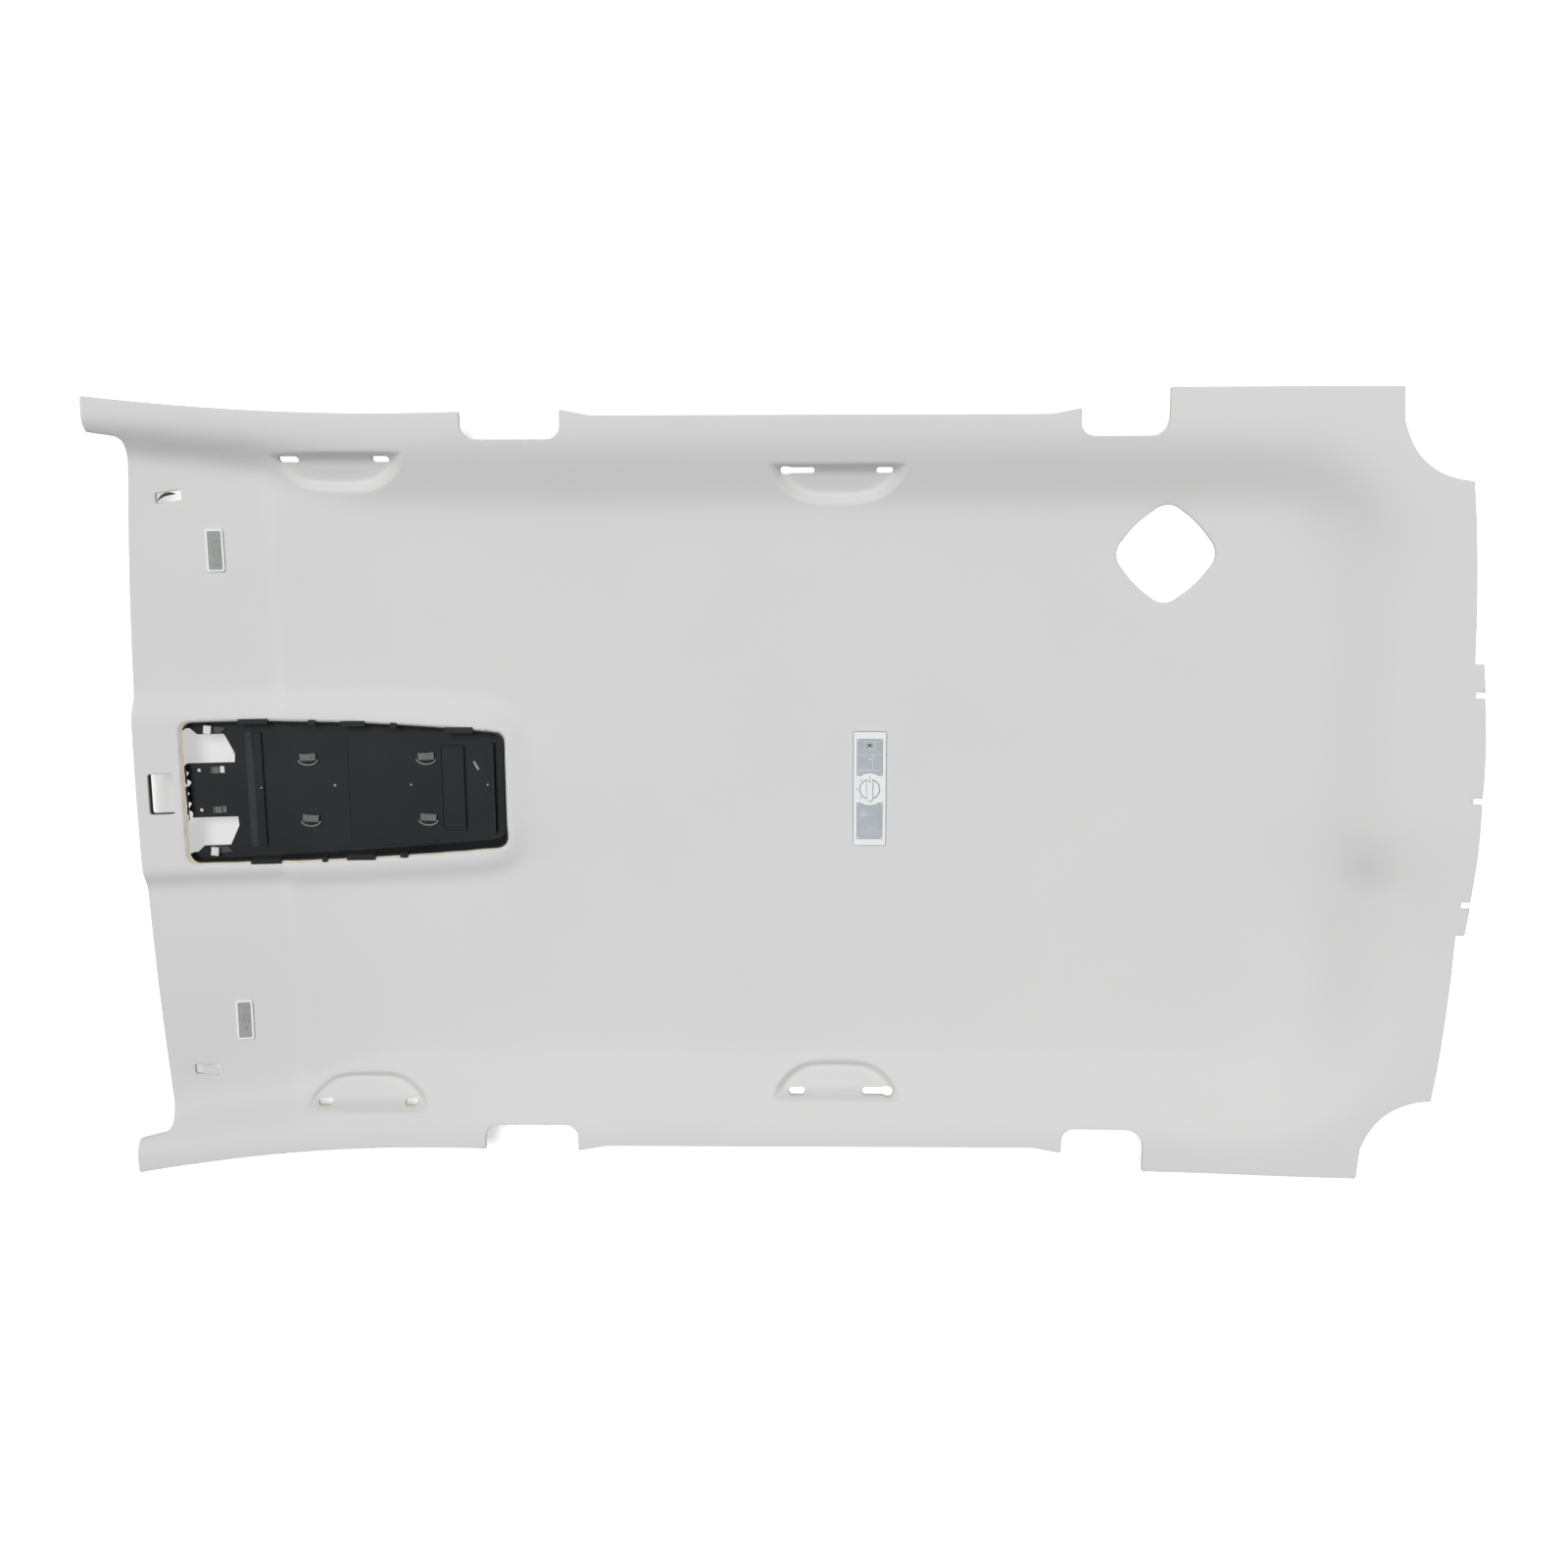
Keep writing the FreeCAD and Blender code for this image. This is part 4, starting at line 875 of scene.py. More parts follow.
def surface_group(name, base, tint, patch_scale, patch_amount, grain_scale):
    """Group: a base colour with soft broad patches of a tint, and a fine grain as its height."""
    tree = node_group(name, (("Colour", "NodeSocketColor"), ("Height", "NodeSocketFloat")))
    out = add(tree, "NodeGroupOutput", (900, 0))
    coords = add(tree, "ShaderNodeTexCoord", (-900, 0))
    broad = add(tree, "ShaderNodeTexNoise", (-650, 200), Scale=patch_scale, Detail=3.0, Roughness=0.55)
    fine = add(tree, "ShaderNodeTexNoise", (-650, -100), Scale=grain_scale, Detail=2.0, Roughness=0.6)
    tree.links.new(coords.outputs["Object"], broad.inputs["Vector"])
    tree.links.new(coords.outputs["Object"], fine.inputs["Vector"])
    patch = ramp(tree, broad.outputs["Fac"], [(0.3, grey(0.0)), (0.7, grey(1.0))], (-400, 200))
    mix = add(tree, "ShaderNodeMix", (0, 100), data_type="RGBA")
    mix.inputs["A"].default_value = (*base, 1.0)
    mix.inputs["B"].default_value = (*tint, 1.0)
    scale = add(tree, "ShaderNodeMath", (-150, 250), operation="MULTIPLY")
    scale.inputs[1].default_value = patch_amount
    tree.links.new(patch.outputs["Color"], scale.inputs[0])
    tree.links.new(scale.outputs[0], mix.inputs["Factor"])
    tree.links.new(mix.outputs["Result"], out.inputs["Colour"])
    tree.links.new(fine.outputs["Fac"], out.inputs["Height"])
    return tree


def soft_spot(tree, source, centre, radii, amount, place=(0, 0)):
    """Value that is 1 outside an oval of the plan and falls by an amount towards its middle."""
    spot = add(tree, "ShaderNodeMapping", place)
    spot.inputs["Scale"].default_value = (1.0 / (radii[0] * MM), 1.0 / (radii[1] * MM), 0.0)
    spot.inputs["Location"].default_value = (-centre[0] / radii[0], -centre[1] / radii[1], 0.0)
    fall = add(tree, "ShaderNodeTexGradient", (place[0] + 220, place[1]), gradient_type="QUADRATIC_SPHERE")
    value = add(tree, "ShaderNodeMath", (place[0] + 440, place[1]), operation="MULTIPLY_ADD")
    value.inputs[1].default_value = -amount
    value.inputs[2].default_value = 1.0
    tree.links.new(source, spot.inputs["Vector"])
    tree.links.new(spot.outputs["Vector"], fall.inputs["Vector"])
    tree.links.new(fall.outputs["Fac"], value.inputs[0])
    return value.outputs[0]


def with_spots(tree, source, shade, spots):
    """The shade darkened, or lightened by a negative amount, in each soft spot."""
    for i, (centre, radii, amount) in enumerate(spots):
        spot = soft_spot(tree, source, centre, radii, amount, (0, -500 - 260 * i))
        scaled = add(tree, "ShaderNodeVectorMath", (700 + 60 * i, -500 - 260 * i), operation="SCALE")
        tree.links.new(shade, scaled.inputs[0])
        tree.links.new(spot, scaled.inputs["Scale"])
        shade = scaled.outputs[0]
    return shade


cloth_shades = ((0.614, 0.620, 0.612), (0.630, 0.632, 0.627))
# Soft darker spots: broad towards the front right, small at the front-right corner, and two round the
# rear-right dent, which are painted shade of the dent together with a soft smudge.
cloth_spots_and_dent_shade = (
    ((-980.0, -420.0), (760.0, 520.0), 0.075),
    ((930.0, -130.0), (270.0, 210.0), 0.085),
    ((915.0, -112.0), (74.0, 62.0), 0.09),
    ((-992.0, -470.0), (60.0, 40.0), 0.05),
)


def knit_group():
    """Group for the lining's cloth: rows of small loops, fine lint, soft broad patches and soft
    spots where the cloth is darker, among them a smudge and painted shade at the rear-right dent."""
    tree = node_group("Flat knit", (("Colour", "NodeSocketColor"), ("Height", "NodeSocketFloat")))
    out = add(tree, "NodeGroupOutput", (1200, 0))
    coords = add(tree, "ShaderNodeTexCoord", (-1100, 0))
    rows = add(tree, "ShaderNodeTexWave", (-700, 300), Scale=260.0, Distortion=1.2, Detail=2.0)
    rows.bands_direction = "X"
    cross = add(tree, "ShaderNodeTexWave", (-700, 0), Scale=190.0, Distortion=1.0, Detail=2.0)
    cross.bands_direction = "Y"
    lint = add(tree, "ShaderNodeTexNoise", (-700, -300), Scale=900.0, Detail=2.0)
    broad = add(tree, "ShaderNodeTexNoise", (-700, -550), Scale=3.2, Detail=3.0, Roughness=0.5)
    for node in (rows, cross, lint, broad):
        tree.links.new(coords.outputs["Object"], node.inputs["Vector"])
    loops = add(tree, "ShaderNodeMath", (-400, 200), operation="MULTIPLY")
    tree.links.new(rows.outputs["Fac"], loops.inputs[0])
    tree.links.new(cross.outputs["Fac"], loops.inputs[1])
    total = add(tree, "ShaderNodeMath", (-150, 100), operation="ADD")
    tree.links.new(loops.outputs[0], total.inputs[0])
    tree.links.new(lint.outputs["Fac"], total.inputs[1])
    tree.links.new(total.outputs[0], out.inputs["Height"])
    fade = ramp(tree, broad.outputs["Fac"], [(0.3, cloth_shades[0]), (0.7, cloth_shades[1])], (-300, -550))
    speck = ramp(tree, total.outputs[0], [(0.0, grey(0.965)), (1.0, grey(1.0))], (100, 0))
    mix = add(tree, "ShaderNodeMix", (600, -200), data_type="RGBA", blend_type="MULTIPLY")
    mix.inputs["Factor"].default_value = 1.0
    tree.links.new(fade.outputs["Color"], mix.inputs["A"])
    tree.links.new(speck.outputs["Color"], mix.inputs["B"])
    shade = with_spots(tree, coords.outputs["Object"], mix.outputs["Result"], cloth_spots_and_dent_shade)
    tree.links.new(shade, out.inputs["Colour"])
    return tree


def finish_material(name, tree, roughness, bump_mm, bump_strength=0.5, **constants):
    """A Principled material fed by a group's colour and height."""
    material = bpy.data.materials.new(name)
    material.use_nodes = True
    nt = material.node_tree
    shader = nt.nodes["Principled BSDF"]
    shader.inputs["Roughness"].default_value = roughness
    for key, value in constants.items():
        shader.inputs[key.replace("_", " ")].default_value = value
    pattern = add(nt, "ShaderNodeGroup", (-500, 0))
    pattern.node_tree = tree
    nt.links.new(pattern.outputs["Colour"], shader.inputs["Base Color"])
    bump = add(nt, "ShaderNodeBump", (-250, -250))
    bump.inputs["Distance"].default_value = bump_mm * MM
    bump.inputs["Strength"].default_value = bump_strength
    nt.links.new(pattern.outputs["Height"], bump.inputs["Height"])
    nt.links.new(bump.outputs["Normal"], shader.inputs["Normal"])
    return material


def finish(name, base, tint, patch_scale, patch_amount, grain_scale, roughness, bump_mm,
           bump_strength=0.3, **constants):
    """A material of two close colours in soft patches under a fine grain."""
    pattern = surface_group(name + " pattern", base, tint, patch_scale, patch_amount, grain_scale)
    return finish_material(name, pattern, roughness, bump_mm, bump_strength, **constants)


# %% [markdown]
# ## Materials
# Cloth, fibre, mouldings and metals, each of two close colours in soft patches.

# %% Materials of the board and the console
cloth = finish_material("Lining cloth", knit_group(), 0.92, 0.10, 0.35,
                        Sheen_Weight=0.04, Specular_IOR_Level=0.25)
core = finish("Cut board edge", (0.56, 0.47, 0.30), (0.66, 0.60, 0.45), 60.0, 0.7, 1400.0, 0.95, 0.25, 0.7,
              Specular_IOR_Level=0.2)
scrim = finish("Roof side scrim", (0.46, 0.45, 0.42), (0.56, 0.54, 0.49), 14.0, 0.8, 520.0, 0.95, 0.3, 0.7,
               Specular_IOR_Level=0.2)
foam = finish("Spacer foam", (0.10, 0.10, 0.105), (0.15, 0.15, 0.155), 70.0, 0.8, 700.0, 0.95, 0.5, 0.9,
              Specular_IOR_Level=0.2)
black = finish("Black moulding", (0.0105, 0.0118, 0.0128), (0.0175, 0.0190, 0.0200), 9.0, 0.7, 1300.0,
               0.42, 0.06, 0.4, Specular_IOR_Level=0.22)
pad_black = finish("Worn pad", (0.052, 0.054, 0.057), (0.072, 0.075, 0.078), 60.0, 0.7, 1100.0,
                   0.5, 0.06, 0.4, Specular_IOR_Level=0.3)
rib_black = finish("Rib moulding", (0.022, 0.024, 0.025), (0.030, 0.032, 0.033), 30.0, 0.6, 1200.0,
                   0.45, 0.06, 0.4, Specular_IOR_Level=0.25)
# Light grey for the studs, the tab and the vanity lens ribs, and for the painted highlight on the boss rims.
rim_grey = finish("Light grey and painted highlight", (0.24, 0.25, 0.25), (0.32, 0.33, 0.33), 120.0, 0.6, 900.0, 0.3, 0.03)
steel = finish("Spring steel", (0.50, 0.50, 0.49), (0.38, 0.38, 0.38), 160.0, 0.6, 2200.0, 0.34, 0.02,
               Metallic=1.0)
dark_steel = finish("Dark steel", (0.020, 0.020, 0.021), (0.034, 0.033, 0.032), 220.0, 0.6, 1800.0,
                    0.55, 0.03)
clip_steel = finish("Leaf steel", (0.105, 0.108, 0.108), (0.150, 0.152, 0.150), 180.0, 0.7, 1500.0,
                    0.42, 0.03, Metallic=0.2)
natural = finish("Natural moulding", (0.66, 0.66, 0.63), (0.58, 0.58, 0.55), 60.0, 0.6, 1500.0, 0.5, 0.04)

# %% [markdown]
# ## Lamp materials
# Lenses and bulbs are slightly see-through.

# %% Materials of the lamps
lens_spots = (
    ((113.0, 31.0), (13.0, 12.0), -0.16),
    ((114.0, -40.0), (9.0, 15.0), -0.22),
    ((127.0, -66.0), (24.0, 20.0), -0.12),
    ((125.0, 74.0), (26.0, 12.0), 0.10),
)


def lens_group():
    """Group for the dome lenses: soft patches, with lighter spots where the tray shines through."""
    tree = surface_group("Lens pattern", (0.50, 0.535, 0.57), (0.44, 0.475, 0.51), 45.0, 0.6, 420.0)
    out = next(n for n in tree.nodes if n.bl_idname == "NodeGroupOutput")
    coords = next(n for n in tree.nodes if n.bl_idname == "ShaderNodeTexCoord")
    shade = out.inputs["Colour"].links[0].from_socket
    tree.links.new(with_spots(tree, coords.outputs["Object"], shade, lens_spots), out.inputs["Colour"])
    return tree


lamp_white = finish("Lamp frame", (0.735, 0.765, 0.765), (0.700, 0.730, 0.735), 30.0, 0.5, 1700.0,
                    0.45, 0.04)
housing = finish("Lamp housing", (0.60, 0.62, 0.62), (0.54, 0.56, 0.56), 40.0, 0.5, 1200.0, 0.5, 0.04)
bright = finish("Reflector", (0.66, 0.69, 0.71), (0.58, 0.61, 0.63), 90.0, 0.6, 900.0, 0.3, 0.03,
                Metallic=0.2)
brass = finish("Contact brass", (0.60, 0.45, 0.20), (0.50, 0.37, 0.17), 200.0, 0.6, 1600.0, 0.36, 0.02,
               Metallic=1.0)
lens = finish_material("Lamp lens", lens_group(), 0.24, 0.05, 0.4, Alpha=0.85, Coat_Weight=0.4)
vanity_glass = finish("Vanity lens", (0.385, 0.39, 0.375), (0.32, 0.325, 0.315), 70.0, 0.7, 420.0,
                      0.24, 0.05, 0.4, Alpha=0.86, Coat_Weight=0.4)
# Dark grey for the dial's marks and the knob's pointer, and for the painted shade round the knob, beside its
# grip and round the lamp.
mark_grey = finish("Mark ink and painted shade", (0.17, 0.18, 0.19), (0.22, 0.23, 0.24), 200.0, 0.5, 900.0, 0.6, 0.02)
lens_line = finish("Lens rib top", (0.60, 0.63, 0.65), (0.54, 0.57, 0.60), 120.0, 0.5, 900.0, 0.3, 0.02)
bulb_glass = finish("Bulb glass", (0.80, 0.80, 0.78), (0.72, 0.72, 0.70), 60.0, 0.5, 500.0, 0.12, 0.01, 0.2,
                    Alpha=0.75)

# %% [markdown]
# ## Placing the pieces

# %% The lining replaces its construction mesh
lining_points, lining_faces, lining_kinds = build_lining()
lining = new_object("roof_lining", lining_points, lining_faces, [cloth, core, scrim], lining_kinds, 42.0)
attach(lining, "lining")
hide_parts("headliner_panel")
print("lining:", len(lining_points), "points,", len(lining_faces), "faces")

# %% [markdown]
# ## Small solid forms
# Bevelled blocks over plan outlines. They stand in for the small fittings that show from close by.


# %% Small solid forms
def carrier_floor(x):
    """Height of the carrier's floor, which follows the lengthwise bow only."""
    return field_z + float(lengthwise_lift(np.array([x]))[0]) - carrier_depth


def slab(outline, z0, z1, inset=0.0):
    """Closed block over an outline. Its top is drawn in by an inset, which bevels its edge."""
    outline = np.asarray(outline, float)
    middle = outline.mean(axis=0)
    reach_out = np.maximum(np.abs(outline - middle), 1e-6)
    drawn = middle + (outline - middle) * np.maximum(1.0 - inset / reach_out.max(axis=0), 0.2)
    n = len(outline)
    rings = [(outline, z0), (outline, z1 - inset)]
    if inset:
        rings.append((drawn, z1))
    points = np.concatenate([np.column_stack([ring, np.full(n, z)]) for ring, z in rings])
    faces = [tuple(range(n))[::-1], tuple(range((len(rings) - 1) * n, len(rings) * n))]
    for level in range(len(rings) - 1):
        for i in range(n):
            j = (i + 1) % n
            faces.append((level * n + i, level * n + j, (level + 1) * n + j, (level + 1) * n + i))
    return outward(points, faces)


def outward(points, faces):
    """The same form with its faces turned outward, by the sign of its volume."""
    total = 0.0
    for face in faces:
        a = points[face[0]]
        for b, c in zip(face[1:-1], face[2:]):
            total += float(a @ np.cross(points[b], points[c]))
    return points, [face[::-1] for face in faces] if total < 0 else faces


def rectangle(cx, cy, size_x, size_y, turn=0.0):
    corners = np.array([(-1, -1), (1, -1), (1, 1), (-1, 1)]) * (size_x / 2.0, size_y / 2.0)
    c = math.cos(turn)
    k = math.sin(turn)
    return corners @ np.array([(c, k), (-k, c)]) + (cx, cy)


def circle(cx, cy, radius, count=64):
    a = np.arange(count) * 2.0 * math.pi / count
    return np.column_stack([cx + radius * np.cos(a), cy + radius * np.sin(a)])


def arc_band(cx, cy, rx, ry, width, start, end, count=20):
    """Outline of a band along an elliptic arc, between two angles in degrees."""
    a = np.radians(np.linspace(start, end, count))
    outer = np.column_stack([cx + rx * np.cos(a), cy + ry * np.sin(a)])
    inner = np.column_stack([cx + (rx - width) * np.cos(a), cy + (ry - width) * np.sin(a)])
    return np.concatenate([outer, inner[::-1]])


def joined(forms):
    """Several closed forms as one mesh."""
    points = []
    faces = []
    start = 0
    for form_points, form_faces in forms:
        points.append(form_points)
        faces += [tuple(i + start for i in face) for face in form_faces]
        start += len(form_points)
    return np.concatenate(points), faces


def fitting(name, forms, material, sharp=35.0):
    """A fixed piece of the lining from closed forms, with one material."""
    points, faces = joined(forms)
    obj = new_object(name, points, faces, [material], None, sharp)
    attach(obj, "lining")
    return obj


# %% [markdown]
# ## Console
# The carrier's construction mesh with its front wall broken away along a torn edge, and the
# fittings on its floor.

# %% Console carrier with its front wall broken away
torn_edge = (
    (-982.0, 45.0), (-983.0, 38.0), (-980.0, 30.0), (-982.5, 22.0), (-978.0, 13.0), (-983.0, 5.0),
    (-980.5, -4.0), (-984.0, -12.0), (-979.5, -21.0), (-982.0, -30.0), (-978.5, -38.0), (-979.5, -45.0),
)
window_side = (
    (-1014.0, 103.0), (-975.0, 103.0), (-964.0, 92.5), (-923.0, 92.5), (-907.0, 60.0), (-908.0, 45.0),
)
break_outline = list(window_side) + list(torn_edge) + [(x, -y) for x, y in reversed(window_side)]
source = nodes["console_frame"]
frame_mesh = source.data.copy()
frame_look = bpy.data.objects.new("console_carrier", frame_mesh)
bpy.context.scene.collection.objects.link(frame_look)
frame_look.matrix_world = source.matrix_world
cutter_points, cutter_faces = slab(break_outline, -60.0, 200.0)
cutter = new_object("break_cutter", cutter_points, cutter_faces, [])
cut = frame_look.modifiers.new("Break", "BOOLEAN")
cut.operation = "DIFFERENCE"
cut.solver = "EXACT"
cut.object = cutter
bpy.context.view_layer.update()
evaluated = frame_look.evaluated_get(bpy.context.evaluated_depsgraph_get())
broken_mesh = bpy.data.meshes.new_from_object(evaluated)
frame_look.modifiers.clear()
frame_look.data = broken_mesh
bpy.data.objects.remove(cutter)
broken_mesh.materials.clear()
broken_mesh.materials.append(black)
broken_mesh.polygons.foreach_set("use_smooth", np.zeros(len(broken_mesh.polygons), bool))
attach(frame_look, "lining")
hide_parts("console_frame")
print("console carrier:", len(broken_mesh.polygons), "faces after its front was broken away")

# %% [markdown]
# ## Console fittings
# Small pieces on the carrier's floor.

# %% Fittings in the console carrier
pad_corners = ((-964.0, 94.0), (-926.0, 94.0), (-917.0, 103.0), (-948.0, 107.0), (-964.0, 104.0))
cap_x = -945.0
cap_y = 101.0
pads = []
caps = []
for side in (1, -1):
    z = carrier_floor(cap_x)
    pads.append(slab([(x, side * y) for x, y in pad_corners][::side], z, z + 2.2, 0.6))
    z = carrier_floor(cap_x + 2.0)
    caps.append(slab(rectangle(cap_x, side * cap_y, 6.0, 6.0), z - 2.0, z + 7.4))
    caps.append(slab(rectangle(cap_x, side * cap_y, 12.5, 14.0, -0.12), z + 7.0, z + 12.0, 1.0))
fitting("console_corner_pads", pads, pad_black)
peg_caps = fitting("console_peg_caps", caps, natural)
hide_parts("console_locating_pegs")

plate_clips = []
plate_clip_ends = []
for side in (1, -1):
    z = carrier_floor(-930.0)
    y = side * plate_hole_y
    plate_clips.append(slab(rectangle(-938.0, y, 12.0, 11.0), z + 0.2, z + 3.2, 0.5))
    plate_clips.append(slab(rectangle(-944.5, y, 2.0, 12.0), z + 0.2, z + 5.4, 0.4))
    ends = plate_clip_ends if side > 0 else plate_clips
    ends.append(slab(rectangle(-927.5, y + 1.0, 7.0, 11.0), z + 0.2, z + 3.8, 0.6))
plate_leaves = fitting("console_plate_leaves", plate_clips, clip_steel)
fitting("console_plate_hooks", plate_clip_ends, natural)
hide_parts("console_plate_clips")

leaves = []
# Light grey crescents on the lower side of each boss rim: a painted highlight.
boss_rim_highlights = []
for x in boss_x:
    for side in (1, -1):
        z = carrier_floor(x) + boss_h
        y = side * boss_y
        tilt = 0.06 * side
        leaves.append(slab(rectangle(x, y + 1.0, 27.0, 12.5, tilt), z - 1.0, z + 1.1, 0.9))
        leaves.append(slab(rectangle(x + side * 5.0, y, 1.4, 11.6, tilt), z + 0.6, z + 1.7, 0.2))
        boss_rim_highlights.append(slab(arc_band(x, y - 1.0, 17.5, 12.0, 1.5, 196.0, 344.0), z - 4.0, z + 0.6, 0.3))
clip_leaves = fitting("console_leaf_clips", leaves, clip_steel)
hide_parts("console_spring_clips")
fitting("console_boss_rim_highlights", boss_rim_highlights, rim_grey)

ribs = []
z = carrier_floor(-884.0)
ribs.append(slab(rectangle(-884.0, 0.0, 15.0, 2.0 * 97.0, 0.03), z - 1.5, z + 1.6, 0.4))
z = carrier_floor(-720.0)
ribs.append(slab(rectangle(-720.0, -94.5, 265.0, 1.6, 0.035), z - 3.0, z + 4.0, 0.4))
fitting("console_floor_ribs", ribs, rib_black)

stud_places = (
    (-867.0, 3.0, 2.2, 6.4), (-750.0, 4.0, 2.4, 2.4), (-626.0, 4.0, 2.0, 2.4), (-500.0, 4.0, 2.0, 2.4),
    (-908.0, 62.0, 2.0, 2.4),
)
studs = []
for x, y, r, height in stud_places:
    z = carrier_floor(x)
    studs.append(slab(circle(x, y, r, 20), z - 1.0, z + height, 0.8))
fitting("console_studs", studs, rim_grey)
z = carrier_floor(-518.0)
tab = slab(rectangle(-518.0, 36.0, 4.0, 16.0, 0.5), z - 0.5, z + 1.6, 0.4)
fitting("console_bright_tab", [tab], rim_grey)

# %% [markdown]
# ## Visor openings
# A flat spring retainer behind each opening. The left one shows a bent blade, and a flap of cloth
# skin covers most of the right slot.


# %% Retainers in the visor openings
retainer_clear = 4.0
retainer_rim = 9.0
retainer_t = 1.2
blade_corners = (
    (-20.0, -8.0), (-15.0, -3.5), (-9.0, -0.5), (-2.0, 1.6), (9.0, 3.6), (9.0, 5.2), (1.0, 7.2), (-6.0, 6.4),
    (-12.0, 3.0), (-17.0, -2.5),
)


def behind(places):
    """Height of the retainer's upper face, just behind the board."""
    return cabin_z(places[:, 0], places[:, 1]) - board_t - 1.0


def ring_form(outer, inner, z_of, thick):
    """Closed flat ring between two loops with as many points, laid at a height of the plan."""
    n = len(outer)
    both = np.concatenate([outer, inner])
    top = z_of(both)
    points = np.concatenate([np.column_stack([both, top]), np.column_stack([both, top - thick])])
    faces = []
    for i in range(n):
        j = (i + 1) % n
        faces.append((i, j, n + j, n + i))
        faces.append((2 * n + i, 3 * n + i, 3 * n + j, 2 * n + j))
        faces.append((i, 2 * n + i, 2 * n + j, j))
        faces.append((n + i, n + j, 3 * n + j, 3 * n + i))
    return outward(points, faces)


for side, hand in ((1, "left"), (-1, "right")):
    loop = visor_hole_loop(side, 2.0)
    centre = loop.mean(axis=0)
    away = loop - centre
    half = np.abs(away).max(axis=0)
    outer = centre + away * (1.0 + retainer_rim / half)
    inner = centre + away * (1.0 + retainer_clear / half)
    retainer = ring_form(outer, inner, behind, retainer_t)
    x0, y0 = centre
    if side > 0:
        blade = np.array(blade_corners) + centre
        z = float(behind(blade).mean())
        forms = [retainer, slab(blade, z - 0.6, z + 0.9, 0.2)]
    else:
        forms = [retainer]
        skin = loop[loop[:, 0] > x0 - 9.0]
        order = np.argsort(np.arctan2(skin[:, 1] - y0, skin[:, 0] - x0 - 5.0))
        skin = skin[order]
        z = float(cabin_z(np.array([x0]), np.array([y0]))[0])
        fitting("visor_slot_skin", [slab(skin, z - 2.2, z - 1.0, 0.3)], cloth)
    clip = fitting("visor_retainer_" + hand, forms, dark_steel)
    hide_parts("visor_clip_" + hand)

# %% [markdown]
# ## Lamps
# Ribs and sockets on the lenses, the dial's marks, and a knob with a round rim and a
# bevelled grip. A dark ring round the knob, dark strips beside its grip and a dark band round the
# lamp are painted shade in the gaps and at the grip's foot. The knob and its lines turn with the switch.


# %% Lamp details
dome_size = (53.0, 188.0)
mark_r = 20.6
rib_low = 4.4
rib_top = 5.0
seat_z = 3.7
knob_top = 6.3
grip_h = 6.0
vanity_ribs = (
    (-911.0, 392.0, 9.0, 0.8), (-911.0, 379.0, 9.0, 0.8), (-915.3, 385.5, 0.8, 13.0),
    (-906.7, 385.5, 0.8, 13.0), (-913.0, 367.0, 17.0, 0.7), (-912.0, 403.0, 4.0, 4.0),
)


def at_lamp(forms):
    """Forms in the dome lamp's own plan, set on the crown under it."""
    base = float(cabin_z(np.array([dome_x]), np.array([0.0]))[0])
    return [(points + (dome_x, 0.0, base), faces) for points, faces in forms]


lens_ribs = []
cross_ribs = ((0.0, 56.4, 40.0, 0.9), (0.0, 31.2, 40.0, 0.9), (-6.0, -42.0, 14.0, 0.9))
socket_box = ((0.0, 78.4, 17.7, 0.8), (0.0, 65.5, 17.7, 0.8), (-8.8, 72.0, 0.8, 12.9), (8.8, 72.0, 0.8, 12.9))
for rib in cross_ribs + socket_box:
    lens_ribs.append(slab(rectangle(*rib), rib_low, rib_top))
lens_ribs.append(slab(rectangle(4.2, 43.8, 0.9, 25.2), rib_low, rib_top + 0.05))
lens_ribs.append(slab(circle(0.3, 49.5, 1.9, 20), rib_low, rib_top + 0.1))
for x in (-19.0, 19.0):
    for y in (81.0, -81.0, 25.0, -25.0):
        lens_ribs.append(slab(rectangle(x, y, 2.2, 2.2), 4.0, 4.9))
fitting("dome_lens_ribs", at_lamp(lens_ribs), lens_line)

lens_marks = [slab(rectangle(-0.6, 72.4, 9.5, 2.4, turn), rib_low, rib_top + 0.02) for turn in (0.6, -0.6)]
for angle in (0.0, 45.0, 90.0, 135.0):
    a = math.radians(90.0 + angle)
    lens_marks.append(slab(rectangle(mark_r * math.cos(a), mark_r * math.sin(a), 2.6, 1.3, a), 4.6, 5.08))
fitting("dome_dial_marks", at_lamp(lens_marks), mark_grey)

knob_forms = [
    slab(circle(0.0, 0.0, 4.0, 32), -9.7, 4.2),
    slab(circle(0.0, 0.0, 15.4, 72), seat_z, knob_top, 0.5),
    slab(box_loop(0.0, 0.0, 10.0, 37.0, 4.5, 1.0), knob_top - 0.5, knob_top + grip_h, 1.2),
]
knob_points, knob_faces = joined(at_lamp(knob_forms))
knob = new_object("dome_turn_knob", knob_points, knob_faces, [lamp_white], None, 35.0)
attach(knob, "switch_knob")
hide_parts("dome_knob")
mark_and_shade_forms = []
# Dark strips along both sides of the grip: painted shade at its foot.
for side in (1, -1):
    mark_and_shade_forms.append(slab(rectangle(side * 5.6, 0.0, 0.7, 26.0), knob_top - 0.3, knob_top + 0.12))
mark_and_shade_forms.append(slab(rectangle(0.0, 14.6, 1.5, 4.6), knob_top + 5.0, knob_top + grip_h + 0.06))
line_points, line_faces = joined(at_lamp(mark_and_shade_forms))
knob_mark_and_shade_lines = new_object("dome_knob_mark_and_shade_lines", line_points, line_faces, [mark_grey], None, 35.0)
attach(knob_mark_and_shade_lines, "switch_knob")
